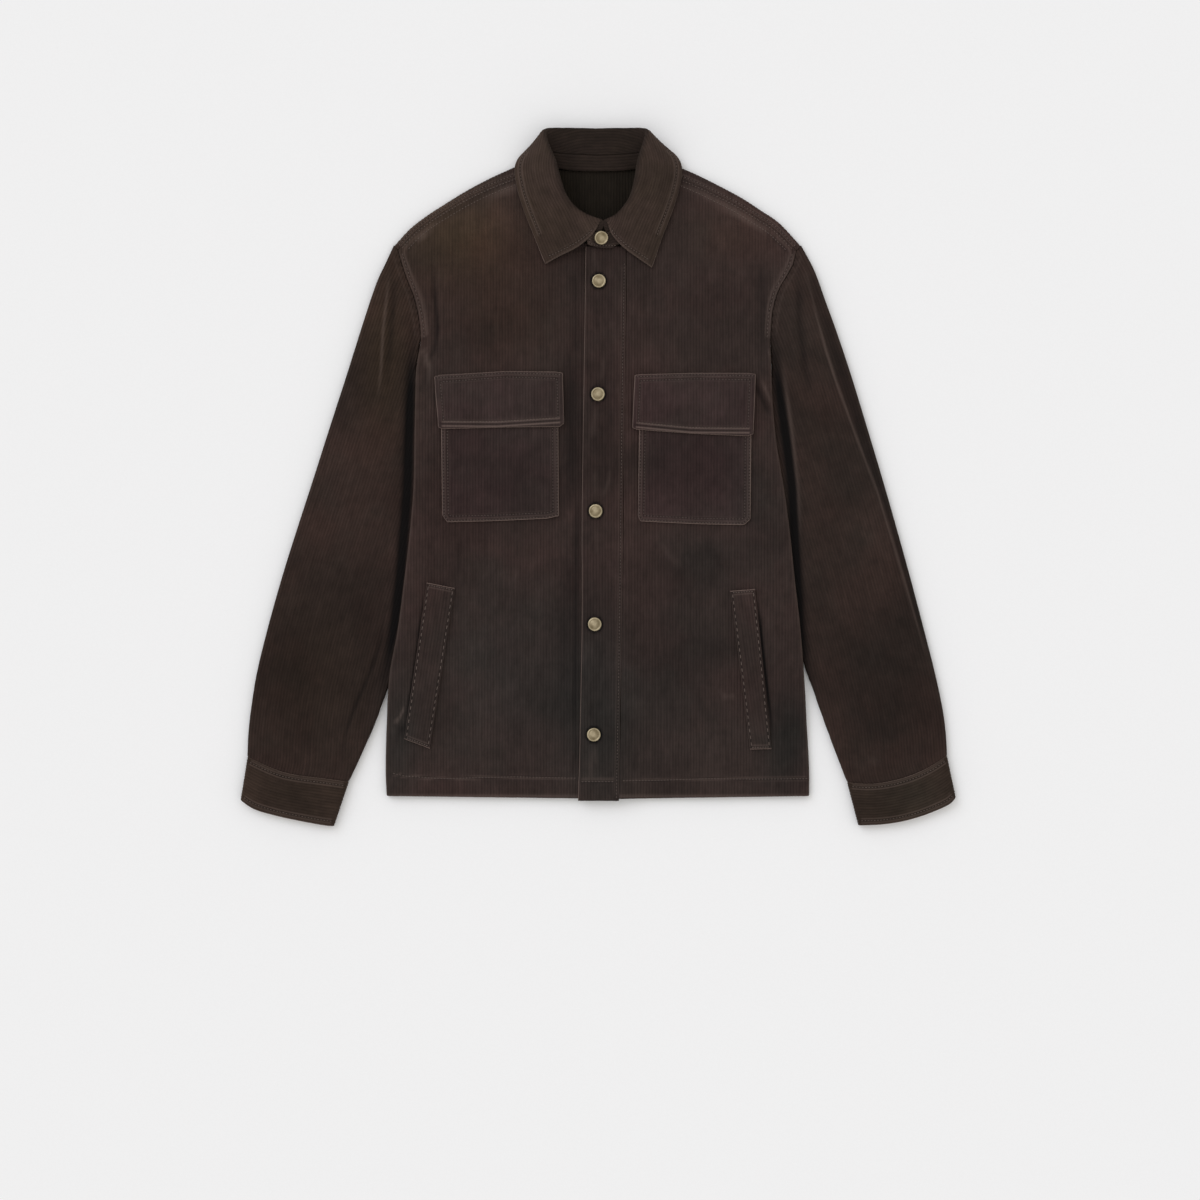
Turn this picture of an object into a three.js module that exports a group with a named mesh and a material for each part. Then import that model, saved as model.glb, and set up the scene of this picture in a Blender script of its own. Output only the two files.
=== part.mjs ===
// Corduroy jacket, snapped up to the collar and laid flat on its back: one closed wall for each sewn piece.
// Millimetres. X runs to the wearer's left, Y from the hem to the collar, Z up from the surface it lies on.
// The origin is the middle of the base of the whole jacket's box. Right and left are the wearer's.
import * as THREE from "three";

// Cloth, each shell with what backs it
const SEAM_GAP = 0.3;
const LAY_GAP = 0.6;
const BODY_CLOTH = 2.8;
const SLEEVE_CLOTH = 2.6;
const CUFF_CLOTH = 3.2;
const COLLAR_CLOTH = 3;
const PLACKET_CLOTH = 3.4;
const POCKET_CLOTH = 2;
const FLAP_CLOTH = 2.8;
const WELT_CLOTH = 2.4;

// Body
const BODY_AIR = 1.1;
const HEM_BAND = 22;
const HEM_RISE = 0.7;
const ARMPIT_Y = 149;
const TUCK_LIFT = 7.6;
const TUCK_REACH = 80;
const TUCK_FLAT = 18;
const BACK_INSET = 4;
const BACK_ARMHOLE_INSET = 1.6;

// Sleeves and cuffs
const ARMHOLE_HEIGHT = 5.8;
const TUCKED_HEIGHT = 6.6;
const SLEEVE_HEIGHT = 8.4;
const CUFF_HEIGHT = 9;
const SLEEVE_ROUND = 4.2;

// Collar
const ROLL_FOLD = 4.6;
const LEAF_BULGE = 6;
const COLLAR_GAP = 1;

// Snaps
const SNAP_RADIUS = 7.5;
const SNAP_HEIGHT = 2.6;
const SNAP_FACETS = 14;

const SIDES = { right: -1, left: 1 };

const COLOURS = {
  body: 0x4a3c37,
  sleeve: 0x443630,
  collar: 0x4b3e37,
  inner: 0x3a302a,
  pocket: 0x463735,
  flap: 0x4f423e,
  placket: 0x4a3b38,
  brass: 0x8a7c58,
};

// The fronts' grid: rows up to the armpit take this share of it, rows along the armhole the rest
const FRONT_COLUMNS = 12;
const LOWER_ROWS = 15;
const UPPER_ROWS = 7;
const ARMPIT_SHARE = 0.78;
const BACK_ROWS = 22;

// The body's side edge, from the hem up to the armpit
const SIDE_EDGE = [
  { y: -347, right: -230.5, left: 229.5 },
  { y: -320, right: -231.5, left: 229.5 },
  { y: -265, right: -230, left: 226.5 },
  { y: -215, right: -227, left: 223.5 },
  { y: -165, right: -218, left: 219.5 },
  { y: -112, right: -211, left: 213.5 },
  { y: -60, right: -205, left: 208 },
  { y: -12, right: -201, left: 201.5 },
  { y: 37, right: -200, left: 193.5 },
  { y: 85, right: -199, left: 189 },
  { y: 118, right: -198, left: 188 },
  { y: ARMPIT_Y, right: -193, left: 187 },
];

// Where each side's edge lies on its sleeve: from bottom to top, the lift starts, is whole, ends whole, ends
const TUCK = {
  right: { start: -330, whole: -240, full: 94, end: ARMPIT_Y + 26 },
  left: { start: -300, whole: -200, full: 94, end: ARMPIT_Y + 26 },
};

// The armhole seam on the front, from the armpit up to the yoke's strip
const ARMHOLE = {
  right: [[-193, ARMPIT_Y], [-194, 165], [-197, 183], [-201, 198], [-207, 213], [-213, 230]],
  left: [[187, ARMPIT_Y], [188, 168], [190.5, 186], [196, 204], [204.5, 219], [211.5, 232]],
};

// The shoulder ridge from the neck out to the sleeve, with the width of the yoke's strip in front of it
const SHOULDER = {
  right: [
    { x: -66, y: 348, strip: 11 },
    { x: -95, y: 336, strip: 10.5 },
    { x: -122, y: 323.5, strip: 9 },
    { x: -146, y: 310.5, strip: 7.5 },
    { x: -167, y: 297.5, strip: 6.5 },
    { x: -187, y: 284.5, strip: 6 },
    { x: -205, y: 270.5, strip: 6 },
    { x: -222.5, y: 251.5, strip: 6 },
  ],
  left: [
    { x: 66, y: 348, strip: 11 },
    { x: 91, y: 336.5, strip: 10.5 },
    { x: 108, y: 329, strip: 10 },
    { x: 133, y: 316.5, strip: 9.5 },
    { x: 157, y: 303.5, strip: 9 },
    { x: 177, y: 290.5, strip: 8.5 },
    { x: 196, y: 277.5, strip: 8 },
    { x: 220.5, y: 251.5, strip: 7 },
  ],
};

// The neckline of a front, half of it, from the centre out to the yoke
const FRONT_NECK = [[5, 251.5], [23, 258.5], [42, 274.5], [55.5, 296], [61.5, 318], [62.5, 336]];
const BACK_NECK = [[-66, 343.5], [-50, 337.5], [-22, 336], [22, 336], [50, 337.5], [66, 343.5]];

// The placket band on the left front, from the hem up: its free edge and its seam
const PLACKET = [
  { y: -352, edge: -22, seam: 22 },
  { y: -277, edge: -20, seam: 23.5 },
  { y: -160, edge: -18, seam: 25.5 },
  { y: -34, edge: -18, seam: 27 },
  { y: 90, edge: -16, seam: 28.5 },
  { y: 251, edge: -14, seam: 31 },
];
const UNDERLAP = 7;
const NECK_BASE_Y = 251;
const PLACKET_SLOPE = 30;

// The sleeves, a row for each section: outer edge, inner edge and the height of the inner edge
const SLEEVE = {
  right: [
    { outerX: -223.5, outerY: 251, innerX: -193.8, innerY: 148.5, height: ARMHOLE_HEIGHT },
    { outerX: -232, outerY: 232, innerX: -198.6, innerY: 132, height: ARMHOLE_HEIGHT },
    { outerX: -242, outerY: 210, innerX: -199, innerY: 112, height: 6.2 },
    { outerX: -257, outerY: 165, innerX: -194, innerY: 84, height: TUCKED_HEIGHT },
    { outerX: -274, outerY: 111, innerX: -189, innerY: 45, height: TUCKED_HEIGHT },
    { outerX: -291.5, outerY: 57, innerX: -188, innerY: 3, height: TUCKED_HEIGHT },
    { outerX: -309, outerY: 2, innerX: -190, innerY: -40, height: TUCKED_HEIGHT },
    { outerX: -326.5, outerY: -52, innerX: -195, innerY: -83, height: TUCKED_HEIGHT },
    { outerX: -343.5, outerY: -106, innerX: -201, innerY: -125, height: TUCKED_HEIGHT },
    { outerX: -359, outerY: -161, innerX: -208.5, innerY: -165, height: TUCKED_HEIGHT },
    { outerX: -371.5, outerY: -212, innerX: -219.5, innerY: -204, height: TUCKED_HEIGHT },
    { outerX: -378, outerY: -252, innerX: -233, innerY: -240, height: 7.2 },
    { outerX: -381, outerY: -280, innerX: -246, innerY: -275, height: 8 },
    { outerX: -382, outerY: -305, innerX: -272, innerY: -332.5, height: SLEEVE_HEIGHT },
  ],
  left: [
    { outerX: 221.5, outerY: 251, innerX: 187.8, innerY: 148.5, height: ARMHOLE_HEIGHT },
    { outerX: 235, outerY: 225, innerX: 189, innerY: 132, height: ARMHOLE_HEIGHT },
    { outerX: 247, outerY: 192, innerX: 189.4, innerY: 112, height: 6.2 },
    { outerX: 260, outerY: 156, innerX: 184.5, innerY: 84, height: TUCKED_HEIGHT },
    { outerX: 275, outerY: 111, innerX: 180.5, innerY: 45, height: TUCKED_HEIGHT },
    { outerX: 291.5, outerY: 57, innerX: 184, innerY: 3, height: TUCKED_HEIGHT },
    { outerX: 308, outerY: 2, innerX: 190, innerY: -40, height: TUCKED_HEIGHT },
    { outerX: 323.5, outerY: -52, innerX: 196, innerY: -83, height: TUCKED_HEIGHT },
    { outerX: 338.5, outerY: -106, innerX: 203, innerY: -122, height: TUCKED_HEIGHT },
    { outerX: 353, outerY: -161, innerX: 212, innerY: -160, height: TUCKED_HEIGHT },
    { outerX: 366, outerY: -212, innerX: 223.5, innerY: -190, height: TUCKED_HEIGHT },
    { outerX: 374.5, outerY: -252, innerX: 235, innerY: -235, height: 7.2 },
    { outerX: 378, outerY: -278, innerX: 248, innerY: -272, height: 8 },
    { outerX: 379.5, outerY: -303.5, innerX: 271, innerY: -333, height: SLEEVE_HEIGHT },
  ],
};

// The cuff seam and the cuff's lower edge, from the outer side in
const CUFF = {
  right: {
    seam: [[-382, -305], [-363, -314], [-346, -321], [-328, -325], [-300, -328.5], [-272, -332.5]],
    end: [[-389.5, -351.5], [-375, -361], [-350, -368.5], [-325, -374], [-300, -378.5], [-288, -380]],
  },
  left: {
    seam: [[379.5, -303.5], [362, -315], [341, -325], [316, -332], [294, -334.5], [271, -333]],
    end: [[389, -348.5], [383, -355], [362, -365], [337, -373], [312, -377.5], [283, -379]],
  },
};

// The collar, half of it, from the middle of the back to the front: neck seam, roll and outer edge,
// the stand's share of the way up to the roll, and how far the roll is off the middle at that section
const COLLAR = [
  { seam: [0, 333, 4.8], roll: [0, 376, 10.5], edge: [0, 342, 1.8], stand: 0.42, shift: -3 },
  { seam: [28, 334, 4.8], roll: [31, 376, 12], edge: [36, 344, 1.8], stand: 0.42, shift: -3 },
  { seam: [52, 338, 5], roll: [50, 373, 20], edge: [65, 353, 2.4], stand: 0.44, shift: -3 },
  { seam: [62.5, 344, 8], roll: [51, 361, 30], edge: [82, 351, 5], stand: 0.48, shift: -3 },
  { seam: [65.5, 338, 8.2], roll: [46.5, 342, 35], edge: [90.5, 337, 9], stand: 0.5, shift: -2 },
  { seam: [64.5, 318, 8.2], roll: [42, 321, 35.5], edge: [88, 315, 9.2], stand: 0.5, shift: -1 },
  { seam: [58, 295, 9.2], roll: [36.5, 304, 32], edge: [80.5, 290, 9.2], stand: 0.52, shift: 0 },
  { seam: [44, 272, 10.8], roll: [27, 291, 27.5], edge: [70.5, 264, 9.2], stand: 0.55, shift: 1 },
  { seam: [26, 256.5, 12.6], roll: [15.5, 282.5, 23.5], edge: [62.5, 243, 9.2], stand: 0.6, shift: 3.5 },
  { seam: [8, 249, 12.8], roll: [7.5, 276.5, 21.5], edge: [57, 231.5, 9.4], stand: 0.66, shift: 6 },
];
const TAB_END = { x: -12, seamY: 248.5, topY: 267 };
const TAB_ROUND = 0.75;

// Chest pockets: corners and bends of each outline, anticlockwise from the bottom outer corner
const CHEST_POCKET = {
  right: {
    bottom: [[-169, -42], [-164, -49], [-109, -47.5], [-56, -45], [-43, -42]],
    top: [[-171, 95], [-166, 95], [-109, 95], [-56, 95], [-44, 95]],
  },
  left: {
    bottom: [[43, -42], [46, -48], [108, -51], [158, -52], [165, -46]],
    top: [[45.5, 95], [50, 95], [108, 95], [156, 95], [166, 95]],
  },
};
const CHEST_FLAP = {
  right: {
    bottom: [[-173.5, 54], [-170, 51.8], [-109, 54], [-42, 54.5], [-37.5, 58.5]],
    top: [[-178, 108.5], [-172, 110.5], [-99, 115], [-46, 114.5], [-39, 113]],
  },
  left: {
    bottom: [[36.8, 53.5], [41, 51.5], [100, 47.5], [162, 44], [168, 46.5]],
    top: [[39.5, 110.5], [46, 111.5], [108, 113], [164, 112.5], [170.5, 111]],
  },
};
const HIP_WELT = {
  right: { bottom: [[-210.5, -284.5], [-183.5, -295]], top: [[-186, -115], [-156, -121]] },
  left: { bottom: [[165, -296], [188, -295.5]], top: [[143.5, -124], [170, -122]] },
};

// Snap caps on the placket's middle, from the collar down; the first is on the stand's tab
const SNAPS = [
  { x: 3, y: 259.5 },
  { x: 0.5, y: 213 },
  { x: -0.5, y: 90 },
  { x: -3, y: -37 },
  { x: -4, y: -160 },
  { x: -5, y: -280 },
];

// The largest folds: a line in plan, its half width and its rise at the middle of the line
const FRONT_FOLDS = [
  { path: [[-192, 228], [-186, 190], [-184, 155]], width: 6, rise: 2.2 },
  { path: [[-168, 240], [-166, 190], [-166, 140]], width: 9, rise: 1.8 },
  { path: [[165, 250], [163, 200], [166, 140]], width: 10, rise: 2 },
  { path: [[184, 232], [181, 190], [182, 155]], width: 6, rise: 1.6 },
  { path: [[168, 116], [177, 98], [190, 70]], width: 8, rise: 2.6 },
  { path: [[64, -60], [93, -101], [137, -107]], width: 11, rise: 1 },
  { path: [[-120, -90], [-90, -190], [-95, -270]], width: 20, rise: 0.9 },
  { path: [[90, -150], [110, -230], [105, -290]], width: 18, rise: 0.8 },
  { path: [[-206, -244], [-200, -262], [-196, -296]], width: 9, rise: 1.2 },
];
const SLEEVE_FOLDS = [
  { path: [[-231, 225], [-235, 185], [-237, 140], [-243, 95]], width: 8, rise: 2 },
  { path: [[-214, 205], [-214, 165], [-222, 110]], width: 8, rise: 1.4 },
  { path: [[-248, 30], [-262, -60], [-285, -150], [-300, -230]], width: 26, rise: 1.2 },
  { path: [[-232, -125], [-243, -180], [-258, -225], [-272, -270], [-281, -322]], width: 10, rise: 1.6 },
  { path: [[-250, -108], [-236, -130]], width: 8, rise: 1.3 },
  { path: [[226, 226], [238, 172], [258, 106], [290, 12], [313, -50], [334, -130], [358, -200], [371, -240]],
    width: 11, rise: 3 },
  { path: [[207, 205], [208, 165], [216, 115], [226, 75]], width: 8, rise: 1.9 },
  { path: [[232, -60], [247, -150], [262, -235]], width: 22, rise: 1 },
  { path: [[287, -328], [302, -318], [318, -310]], width: 7, rise: 1.4 },
];

// How a rolled edge goes from the underside up and over, against a plain cut edge. Offsets are inward
// from the outline; heights are shares of the outer wall's height and of the inner wall's height.
const ROLL_EDGE = [
  { outer: 0.9, outerUp: 0, inner: 3.4, innerUp: 0 },
  { outer: 0, outerUp: 0.3, inner: 3.2, innerUp: 0.4 },
  { outer: 0.4, outerUp: 0.68, inner: 3.3, innerUp: 0.8 },
  { outer: 2.2, outerUp: 0.93, inner: 4.1, innerUp: 1 },
  { outer: 6, outerUp: 1, inner: 6.8, innerUp: 1 },
];
const CUT_EDGE = [
  { outer: 0, rim: 0.12, inner: 0.4 },
  { outer: 0, rim: 0.45, inner: 1 },
  { outer: 0.15, rim: 0.82, inner: 1.8 },
  { outer: 1, rim: 1, inner: 2.8 },
  { outer: 6, rim: 1, inner: 6.8 },
];

// Small tools of plane geometry and interpolation

const lerp = THREE.MathUtils.lerp;
const smooth = (low, high, value) => THREE.MathUtils.smoothstep(value, low, high);
const spread = (count) => Array.from({ length: count + 1 }, (_, index) => index / count);
const point = ([x, y, z = 0]) => new THREE.Vector3(x, y, z);

function lineThrough(points) {
  const curve = new THREE.CatmullRomCurve3(points.map(point), false, "centripetal");
  curve.arcLengthDivisions = 300;
  return (t) => curve.getPointAt(t);
}

function chain(first, second, share) {
  return (t) => (t < share ? first(t / share) : second((t - share) / (1 - share)));
}

function straight(a, b) {
  return (t) => new THREE.Vector3().lerpVectors(a, b, t);
}

// A polyline whose vertices fall on even stops, so that corners stay where they are
function bentLine(points) {
  const vectors = points.map(point);
  return (t) => {
    const place = t * (vectors.length - 1);
    const index = Math.min(Math.floor(place), vectors.length - 2);
    return new THREE.Vector3().lerpVectors(vectors[index], vectors[index + 1], place - index);
  };
}

// A table's column as a smooth function of the share of the way down its rows
function column(rows, read) {
  const last = rows.length - 1;
  return (t) => {
    const place = Math.min(Math.max(t, 0), 1) * last;
    const index = Math.min(Math.floor(place), last - 1);
    const value = (row) => read(rows[Math.min(Math.max(row, 0), last)]);
    const [before, from, to, after] = [index - 1, index, index + 1, index + 2].map(value);
    return catmull(before, from, to, after, place - index);
  };
}

function catmull(before, from, to, after, t) {
  const slopeFrom = (to - before) / 2;
  const slopeTo = (after - from) / 2;
  const a = 2 * from - 2 * to + slopeFrom + slopeTo;
  const b = -3 * from + 3 * to - 2 * slopeFrom - slopeTo;
  return ((a * t + b) * t + slopeFrom) * t + from;
}

// A value read off a table by height y, in straight steps
function byHeight(rows, y, read) {
  const above = rows.findIndex((row) => row.y >= y);
  if (above === 0) return read(rows[0]);
  if (above < 0) return read(rows[rows.length - 1]);
  const [low, high] = [rows[above - 1], rows[above]];
  return lerp(read(low), read(high), (y - low.y) / (high.y - low.y));
}

// Distance in plan from a point to a bent line, and the share of the way along it
function nearest(path, x, y) {
  let best = { distance: Infinity, along: 0 };
  for (let index = 0; index + 1 < path.length; index++) {
    const [ax, ay] = path[index];
    const [bx, by] = path[index + 1];
    const [dx, dy] = [bx - ax, by - ay];
    const t = Math.min(Math.max(((x - ax) * dx + (y - ay) * dy) / (dx * dx + dy * dy), 0), 1);
    const distance = Math.hypot(x - ax - dx * t, y - ay - dy * t);
    if (distance < best.distance) best = { distance, along: (index + t) / (path.length - 1) };
  }
  return best;
}

function foldHeight(folds, x, y) {
  let height = 0;
  for (const { path, width, rise } of folds) {
    const { distance, along } = nearest(path, x, y);
    const taper = smooth(0, 0.3, along) * smooth(0, 0.3, 1 - along);
    height += rise * Math.exp(-((distance / width) ** 2)) * taper;
  }
  return height;
}

// Heights of the body's layers over the surface it lies on

function sideOf(x) {
  return x < 0 ? "right" : "left";
}

function lift(x, y) {
  const side = sideOf(x);
  const { start, whole, full, end } = TUCK[side];
  const along = smooth(start, whole, y) * (1 - smooth(full, end, y));
  const inward = Math.abs(byHeight(SIDE_EDGE, y, (row) => row[side])) - Math.abs(x);
  return TUCK_LIFT * along * (1 - smooth(TUCK_FLAT, TUCK_REACH, inward));
}

const placketEdge = (y) => byHeight(PLACKET, y, (row) => row.edge);
const placketSeam = (y) => byHeight(PLACKET, y, (row) => row.seam);

function frontUnder(x, y) {
  const inward = Math.abs(byHeight(SIDE_EDGE, y, (row) => row[sideOf(x)])) - Math.abs(x);
  const folds = foldHeight(FRONT_FOLDS, x, y) * smooth(-2, 12, inward);
  return lift(x, y) + BODY_CLOTH + BODY_AIR + folds;
}

function hemStep(y) {
  return HEM_RISE * (1 - smooth(-347 + HEM_BAND, -347 + HEM_BAND + 3, y));
}

function rightFrontTop(x, y) {
  return frontUnder(x, y) + BODY_CLOTH + hemStep(y);
}

function leftFrontUnder(x, y) {
  const step = PLACKET_CLOTH + LAY_GAP;
  return frontUnder(x, y) + step * (1 - smooth(0, PLACKET_SLOPE, x - placketSeam(y)));
}

function leftFrontTop(x, y) {
  return leftFrontUnder(x, y) + BODY_CLOTH + hemStep(y);
}

const frontTop = { right: rightFrontTop, left: leftFrontTop };
const placketUnder = (x, y) => rightFrontTop(x, y) + LAY_GAP;
const placketTop = (x, y) => placketUnder(x, y) + PLACKET_CLOTH;

// A grid of plan points between four edges, each edge a function of 0 to 1

function planGrid({ bottom, top, left, right }, columnStops, rowStops) {
  const at = (v) => (u) =>
    new THREE.Vector3()
      .addScaledVector(bottom(u), 1 - v)
      .addScaledVector(top(u), v)
      .addScaledVector(left(v), 1 - u)
      .addScaledVector(right(v), u)
      .addScaledVector(bottom(0), -(1 - u) * (1 - v))
      .addScaledVector(bottom(1), -u * (1 - v))
      .addScaledVector(top(0), -(1 - u) * v)
      .addScaledVector(top(1), -u * v);
  return rowStops.map((v) => columnStops.map(at(v)));
}

// Closed solids

function solid(positions, triangles) {
  const geometry = new THREE.BufferGeometry();
  const numbers = positions.flatMap(({ x, y, z }) => [x, y, z]);
  geometry.setAttribute("position", new THREE.Float32BufferAttribute(numbers, 3));
  geometry.setIndex(triangles);
  geometry.computeVertexNormals();
  return geometry;
}

// A wall between an outer and an inner grid of the same size, closed round its four edges.
// Seen from the outer side, columns run to the right and rows run up.
function wall(outer, inner) {
  const rows = outer.length;
  const columns = outer[0].length;
  const count = rows * columns;
  const positions = [...outer.flat(), ...inner.flat()];
  const triangles = [];
  const quad = (a, b, c, d) => triangles.push(a, b, c, a, c, d);
  for (let row = 0; row + 1 < rows; row++) {
    for (let col = 0; col + 1 < columns; col++) {
      const a = row * columns + col;
      quad(a, a + 1, a + columns + 1, a + columns);
      quad(count + a, count + a + columns, count + a + columns + 1, count + a + 1);
    }
    const first = row * columns;
    const last = first + columns - 1;
    quad(first, first + columns, count + first + columns, count + first);
    quad(last, count + last, count + last + columns, last + columns);
  }
  for (let col = 0; col + 1 < columns; col++) {
    const high = (rows - 1) * columns + col;
    quad(col, count + col, count + col + 1, col + 1);
    quad(high, high + 1, count + high + 1, count + high);
  }
  return solid(positions, triangles);
}

// A tube between rings of outer points and rings of inner points, open at both ends
function tube(outerRings, innerRings) {
  const size = outerRings[0].length;
  const count = outerRings.length * size;
  const positions = [...outerRings.flat(), ...innerRings.flat()];
  const triangles = [];
  const quad = (a, b, c, d) => triangles.push(a, b, c, a, c, d);
  for (let index = 0; index < size; index++) {
    const next = (index + 1) % size;
    for (let ring = 0; ring + 1 < outerRings.length; ring++) {
      const [a, b] = [ring * size + index, ring * size + next];
      quad(a, b, b + size, a + size);
      quad(count + a, count + a + size, count + b + size, count + b);
    }
    const end = (outerRings.length - 1) * size;
    quad(index, count + index, count + next, next);
    quad(end + index, end + next, count + end + next, count + end + index);
  }
  return solid(positions, triangles);
}

// A wall that lies on something: its plan grid set at two heights
function layer(grid, under, top) {
  const set = (height) => (row) => row.map(({ x, y }) => new THREE.Vector3(x, y, height(x, y)));
  return wall(grid.map(set(top)), grid.map(set(under)));
}

// The points that take a row of a plan grid over its outline at its first column. The share says how
// much of the rolled edge there is, and the rest is a plain cut edge.
function edgePoints(row, share, under, top) {
  const start = row[0];
  const inward = row[1].clone().sub(start).setZ(0).normalize();
  const place = (offset) => start.clone().addScaledVector(inward, offset);
  const base = lift(start.x, start.y);
  const outer = [];
  const inner = [];
  ROLL_EDGE.forEach((rolled, index) => {
    const cut = CUT_EDGE[index];
    const out = place(lerp(cut.outer, rolled.outer, share));
    const within = place(lerp(cut.inner, rolled.inner, share));
    const [low, high] = [under(out.x, out.y), top(out.x, out.y)];
    out.z = lerp(lerp(low, high, cut.rim), lerp(base, high, rolled.outerUp), share);
    const inside = under(within.x, within.y);
    within.z = lerp(inside, lerp(base, inside, rolled.innerUp), share);
    outer.push(out);
    inner.push(within);
  });
  return { outer, inner };
}

// A layer whose first column is a rolled edge, on either side of the body
function rolledLayer(grid, shares, under, top, side) {
  const outer = [];
  const inner = [];
  grid.forEach((row, index) => {
    const edge = edgePoints(row, shares[index], under, top);
    const flat = row.slice(1);
    outer.push([...edge.outer, ...flat.map(({ x, y }) => new THREE.Vector3(x, y, top(x, y)))]);
    inner.push([...edge.inner, ...flat.map(({ x, y }) => new THREE.Vector3(x, y, under(x, y)))]);
  });
  if (side === "right") return wall(outer, inner);
  return wall(outer.map((row) => row.reverse()), inner.map((row) => row.reverse()));
}

// The shoulder: the ridge line, and the yoke strip's seam in front of it

function ridgeLine(side) {
  return lineThrough(SHOULDER[side].map(({ x, y }) => [x, y]));
}

// The ridge moved inward by a distance given along it
function inFromRidge(side, distance) {
  const ridge = ridgeLine(side);
  return (t) => {
    const tangent = ridge(Math.min(t + 0.01, 1)).sub(ridge(Math.max(t - 0.01, 0))).normalize();
    const across = new THREE.Vector3(tangent.y, -tangent.x, 0);
    if (across.y > 0) across.negate();
    return ridge(t).addScaledVector(across, distance(t));
  };
}

function stripSeam(side, extra) {
  const width = column(SHOULDER[side], (row) => row.strip);
  return inFromRidge(side, (t) => width(t) + extra);
}

function armholeLine(side, extra) {
  const corner = stripSeam(side, extra)(1);
  return [...ARMHOLE[side], [corner.x, corner.y]];
}

// Pieces

function backGeometry() {
  const rowStops = spread(BACK_ROWS);
  const inset = (side) => (t) => {
    const low = lineThrough(SIDE_EDGE.map((row) => [row[side] - SIDES[side] * BACK_INSET, row.y]));
    const high = lineThrough([
      [ARMHOLE[side][0][0] - SIDES[side] * BACK_INSET, ARMPIT_Y],
      ...armholeLine(side, BACK_ARMHOLE_INSET).slice(2)
        .map(([x, y]) => [x - SIDES[side] * BACK_ARMHOLE_INSET, y - BACK_ARMHOLE_INSET]),
    ]);
    return chain(low, high, 0.8)(t);
  };
  const [right, left] = [inset("right"), inset("left")];
  const roof = (side) => {
    const line = inFromRidge(side, () => BACK_INSET);
    const start = side === "right" ? right(1) : left(1);
    return (t) => (t === 0 ? start : line(1 - t));
  };
  const neck = (t) => {
    const ends = [roof("right")(1), roof("left")(1)];
    const inside = BACK_NECK.slice(1, -1);
    return lineThrough([[ends[0].x, ends[0].y], ...inside, [ends[1].x, ends[1].y]])(t);
  };
  const [roofRight, roofLeft] = [roof("right"), roof("left")];
  const top = (t) => {
    if (t < 0.36) return roofRight(t / 0.36);
    if (t <= 0.64) return neck((t - 0.36) / 0.28);
    return roofLeft((1 - t) / 0.36);
  };
  const edges = { bottom: straight(right(0), left(0)), top, left: right, right: left };
  const grid = planGrid(edges, spread(18), rowStops);
  return layer(grid, lift, (x, y) => lift(x, y) + BODY_CLOTH);
}

function yokeGeometry(side) {
  const ridge = ridgeLine(side);
  const seam = stripSeam(side, 0);
  const grid = spread(FRONT_COLUMNS).map((t) => [ridge(t), seam(t)]);
  const rows = side === "right" ? grid.reverse() : grid;
  const outer = [];
  const inner = [];
  for (const row of rows) {
    const edge = edgePoints(row, 1, frontUnder, rightFrontTop);
    const { x, y } = row[1];
    outer.push([...edge.outer.slice(0, -1), new THREE.Vector3(x, y, rightFrontTop(x, y))]);
    inner.push([...edge.inner.slice(0, -1), new THREE.Vector3(x, y, frontUnder(x, y))]);
  }
  const geometry = wall(outer, inner);
  return facingOut(geometry);
}

// Turns the faces round where the rows and columns came out left-handed
function facingOut(geometry) {
  const { array } = geometry.getAttribute("position");
  const index = geometry.index.array;
  const corner = (k) => new THREE.Vector3().fromArray(array, 3 * index[k]);
  let volume = 0;
  for (let k = 0; k < index.length; k += 3) {
    volume += corner(k).dot(corner(k + 1).cross(corner(k + 2)));
  }
  if (volume < 0) {
    for (let k = 0; k < index.length; k += 3) [index[k + 1], index[k + 2]] = [index[k + 2], index[k + 1]];
  }
  geometry.computeVertexNormals();
  return geometry;
}

function frontGrid(side, centre) {
  const sign = SIDES[side];
  const sideLine = lineThrough(SIDE_EDGE.map((row) => [row[side], row.y]));
  const edge = chain(sideLine, lineThrough(armholeLine(side, SEAM_GAP)), ARMPIT_SHARE);
  const seam = stripSeam(side, SEAM_GAP);
  const neck = FRONT_NECK.filter(([x]) => x > centre(NECK_BASE_Y) * sign + 3);
  const end = seam(0);
  const neckLine = lineThrough([
    [centre(NECK_BASE_Y), NECK_BASE_Y],
    ...neck.map(([x, y]) => [x * sign, y]),
    [end.x, end.y],
  ]);
  const upTo = (heights) => lineThrough(heights.map((y) => [centre(y), y]));
  const low = upTo([-350, -277, -160, -34, 90, ARMPIT_Y]);
  const high = chain(upTo([ARMPIT_Y, 200, NECK_BASE_Y]), neckLine, 3 / UPPER_ROWS);
  const middle = chain(low, high, ARMPIT_SHARE);
  const edges = {
    bottom: straight(edge(0), middle(0)),
    top: (t) => seam(1 - t),
    left: edge,
    right: middle,
  };
  const rowStops = [
    0, 0.02, 0.036, 0.042,
    ...spread(LOWER_ROWS).slice(1).map((v) => lerp(0.042, ARMPIT_SHARE, v)),
    ...spread(UPPER_ROWS).slice(1).map((v) => lerp(ARMPIT_SHARE, 1, v)),
  ];
  const grid = planGrid(edges, spread(FRONT_COLUMNS), rowStops);
  const shares = rowStops.map((v) => 1 - smooth(ARMPIT_SHARE - 0.045, ARMPIT_SHARE + 0.01, v));
  return { grid, shares };
}

function frontRightGeometry() {
  const { grid, shares } = frontGrid("right", (y) => placketSeam(y) - UNDERLAP);
  return rolledLayer(grid, shares, frontUnder, rightFrontTop, "right");
}

function frontLeftGeometry() {
  const { grid, shares } = frontGrid("left", (y) => placketSeam(y) + SEAM_GAP);
  return rolledLayer(grid, shares, leftFrontUnder, leftFrontTop, "left");
}

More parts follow.
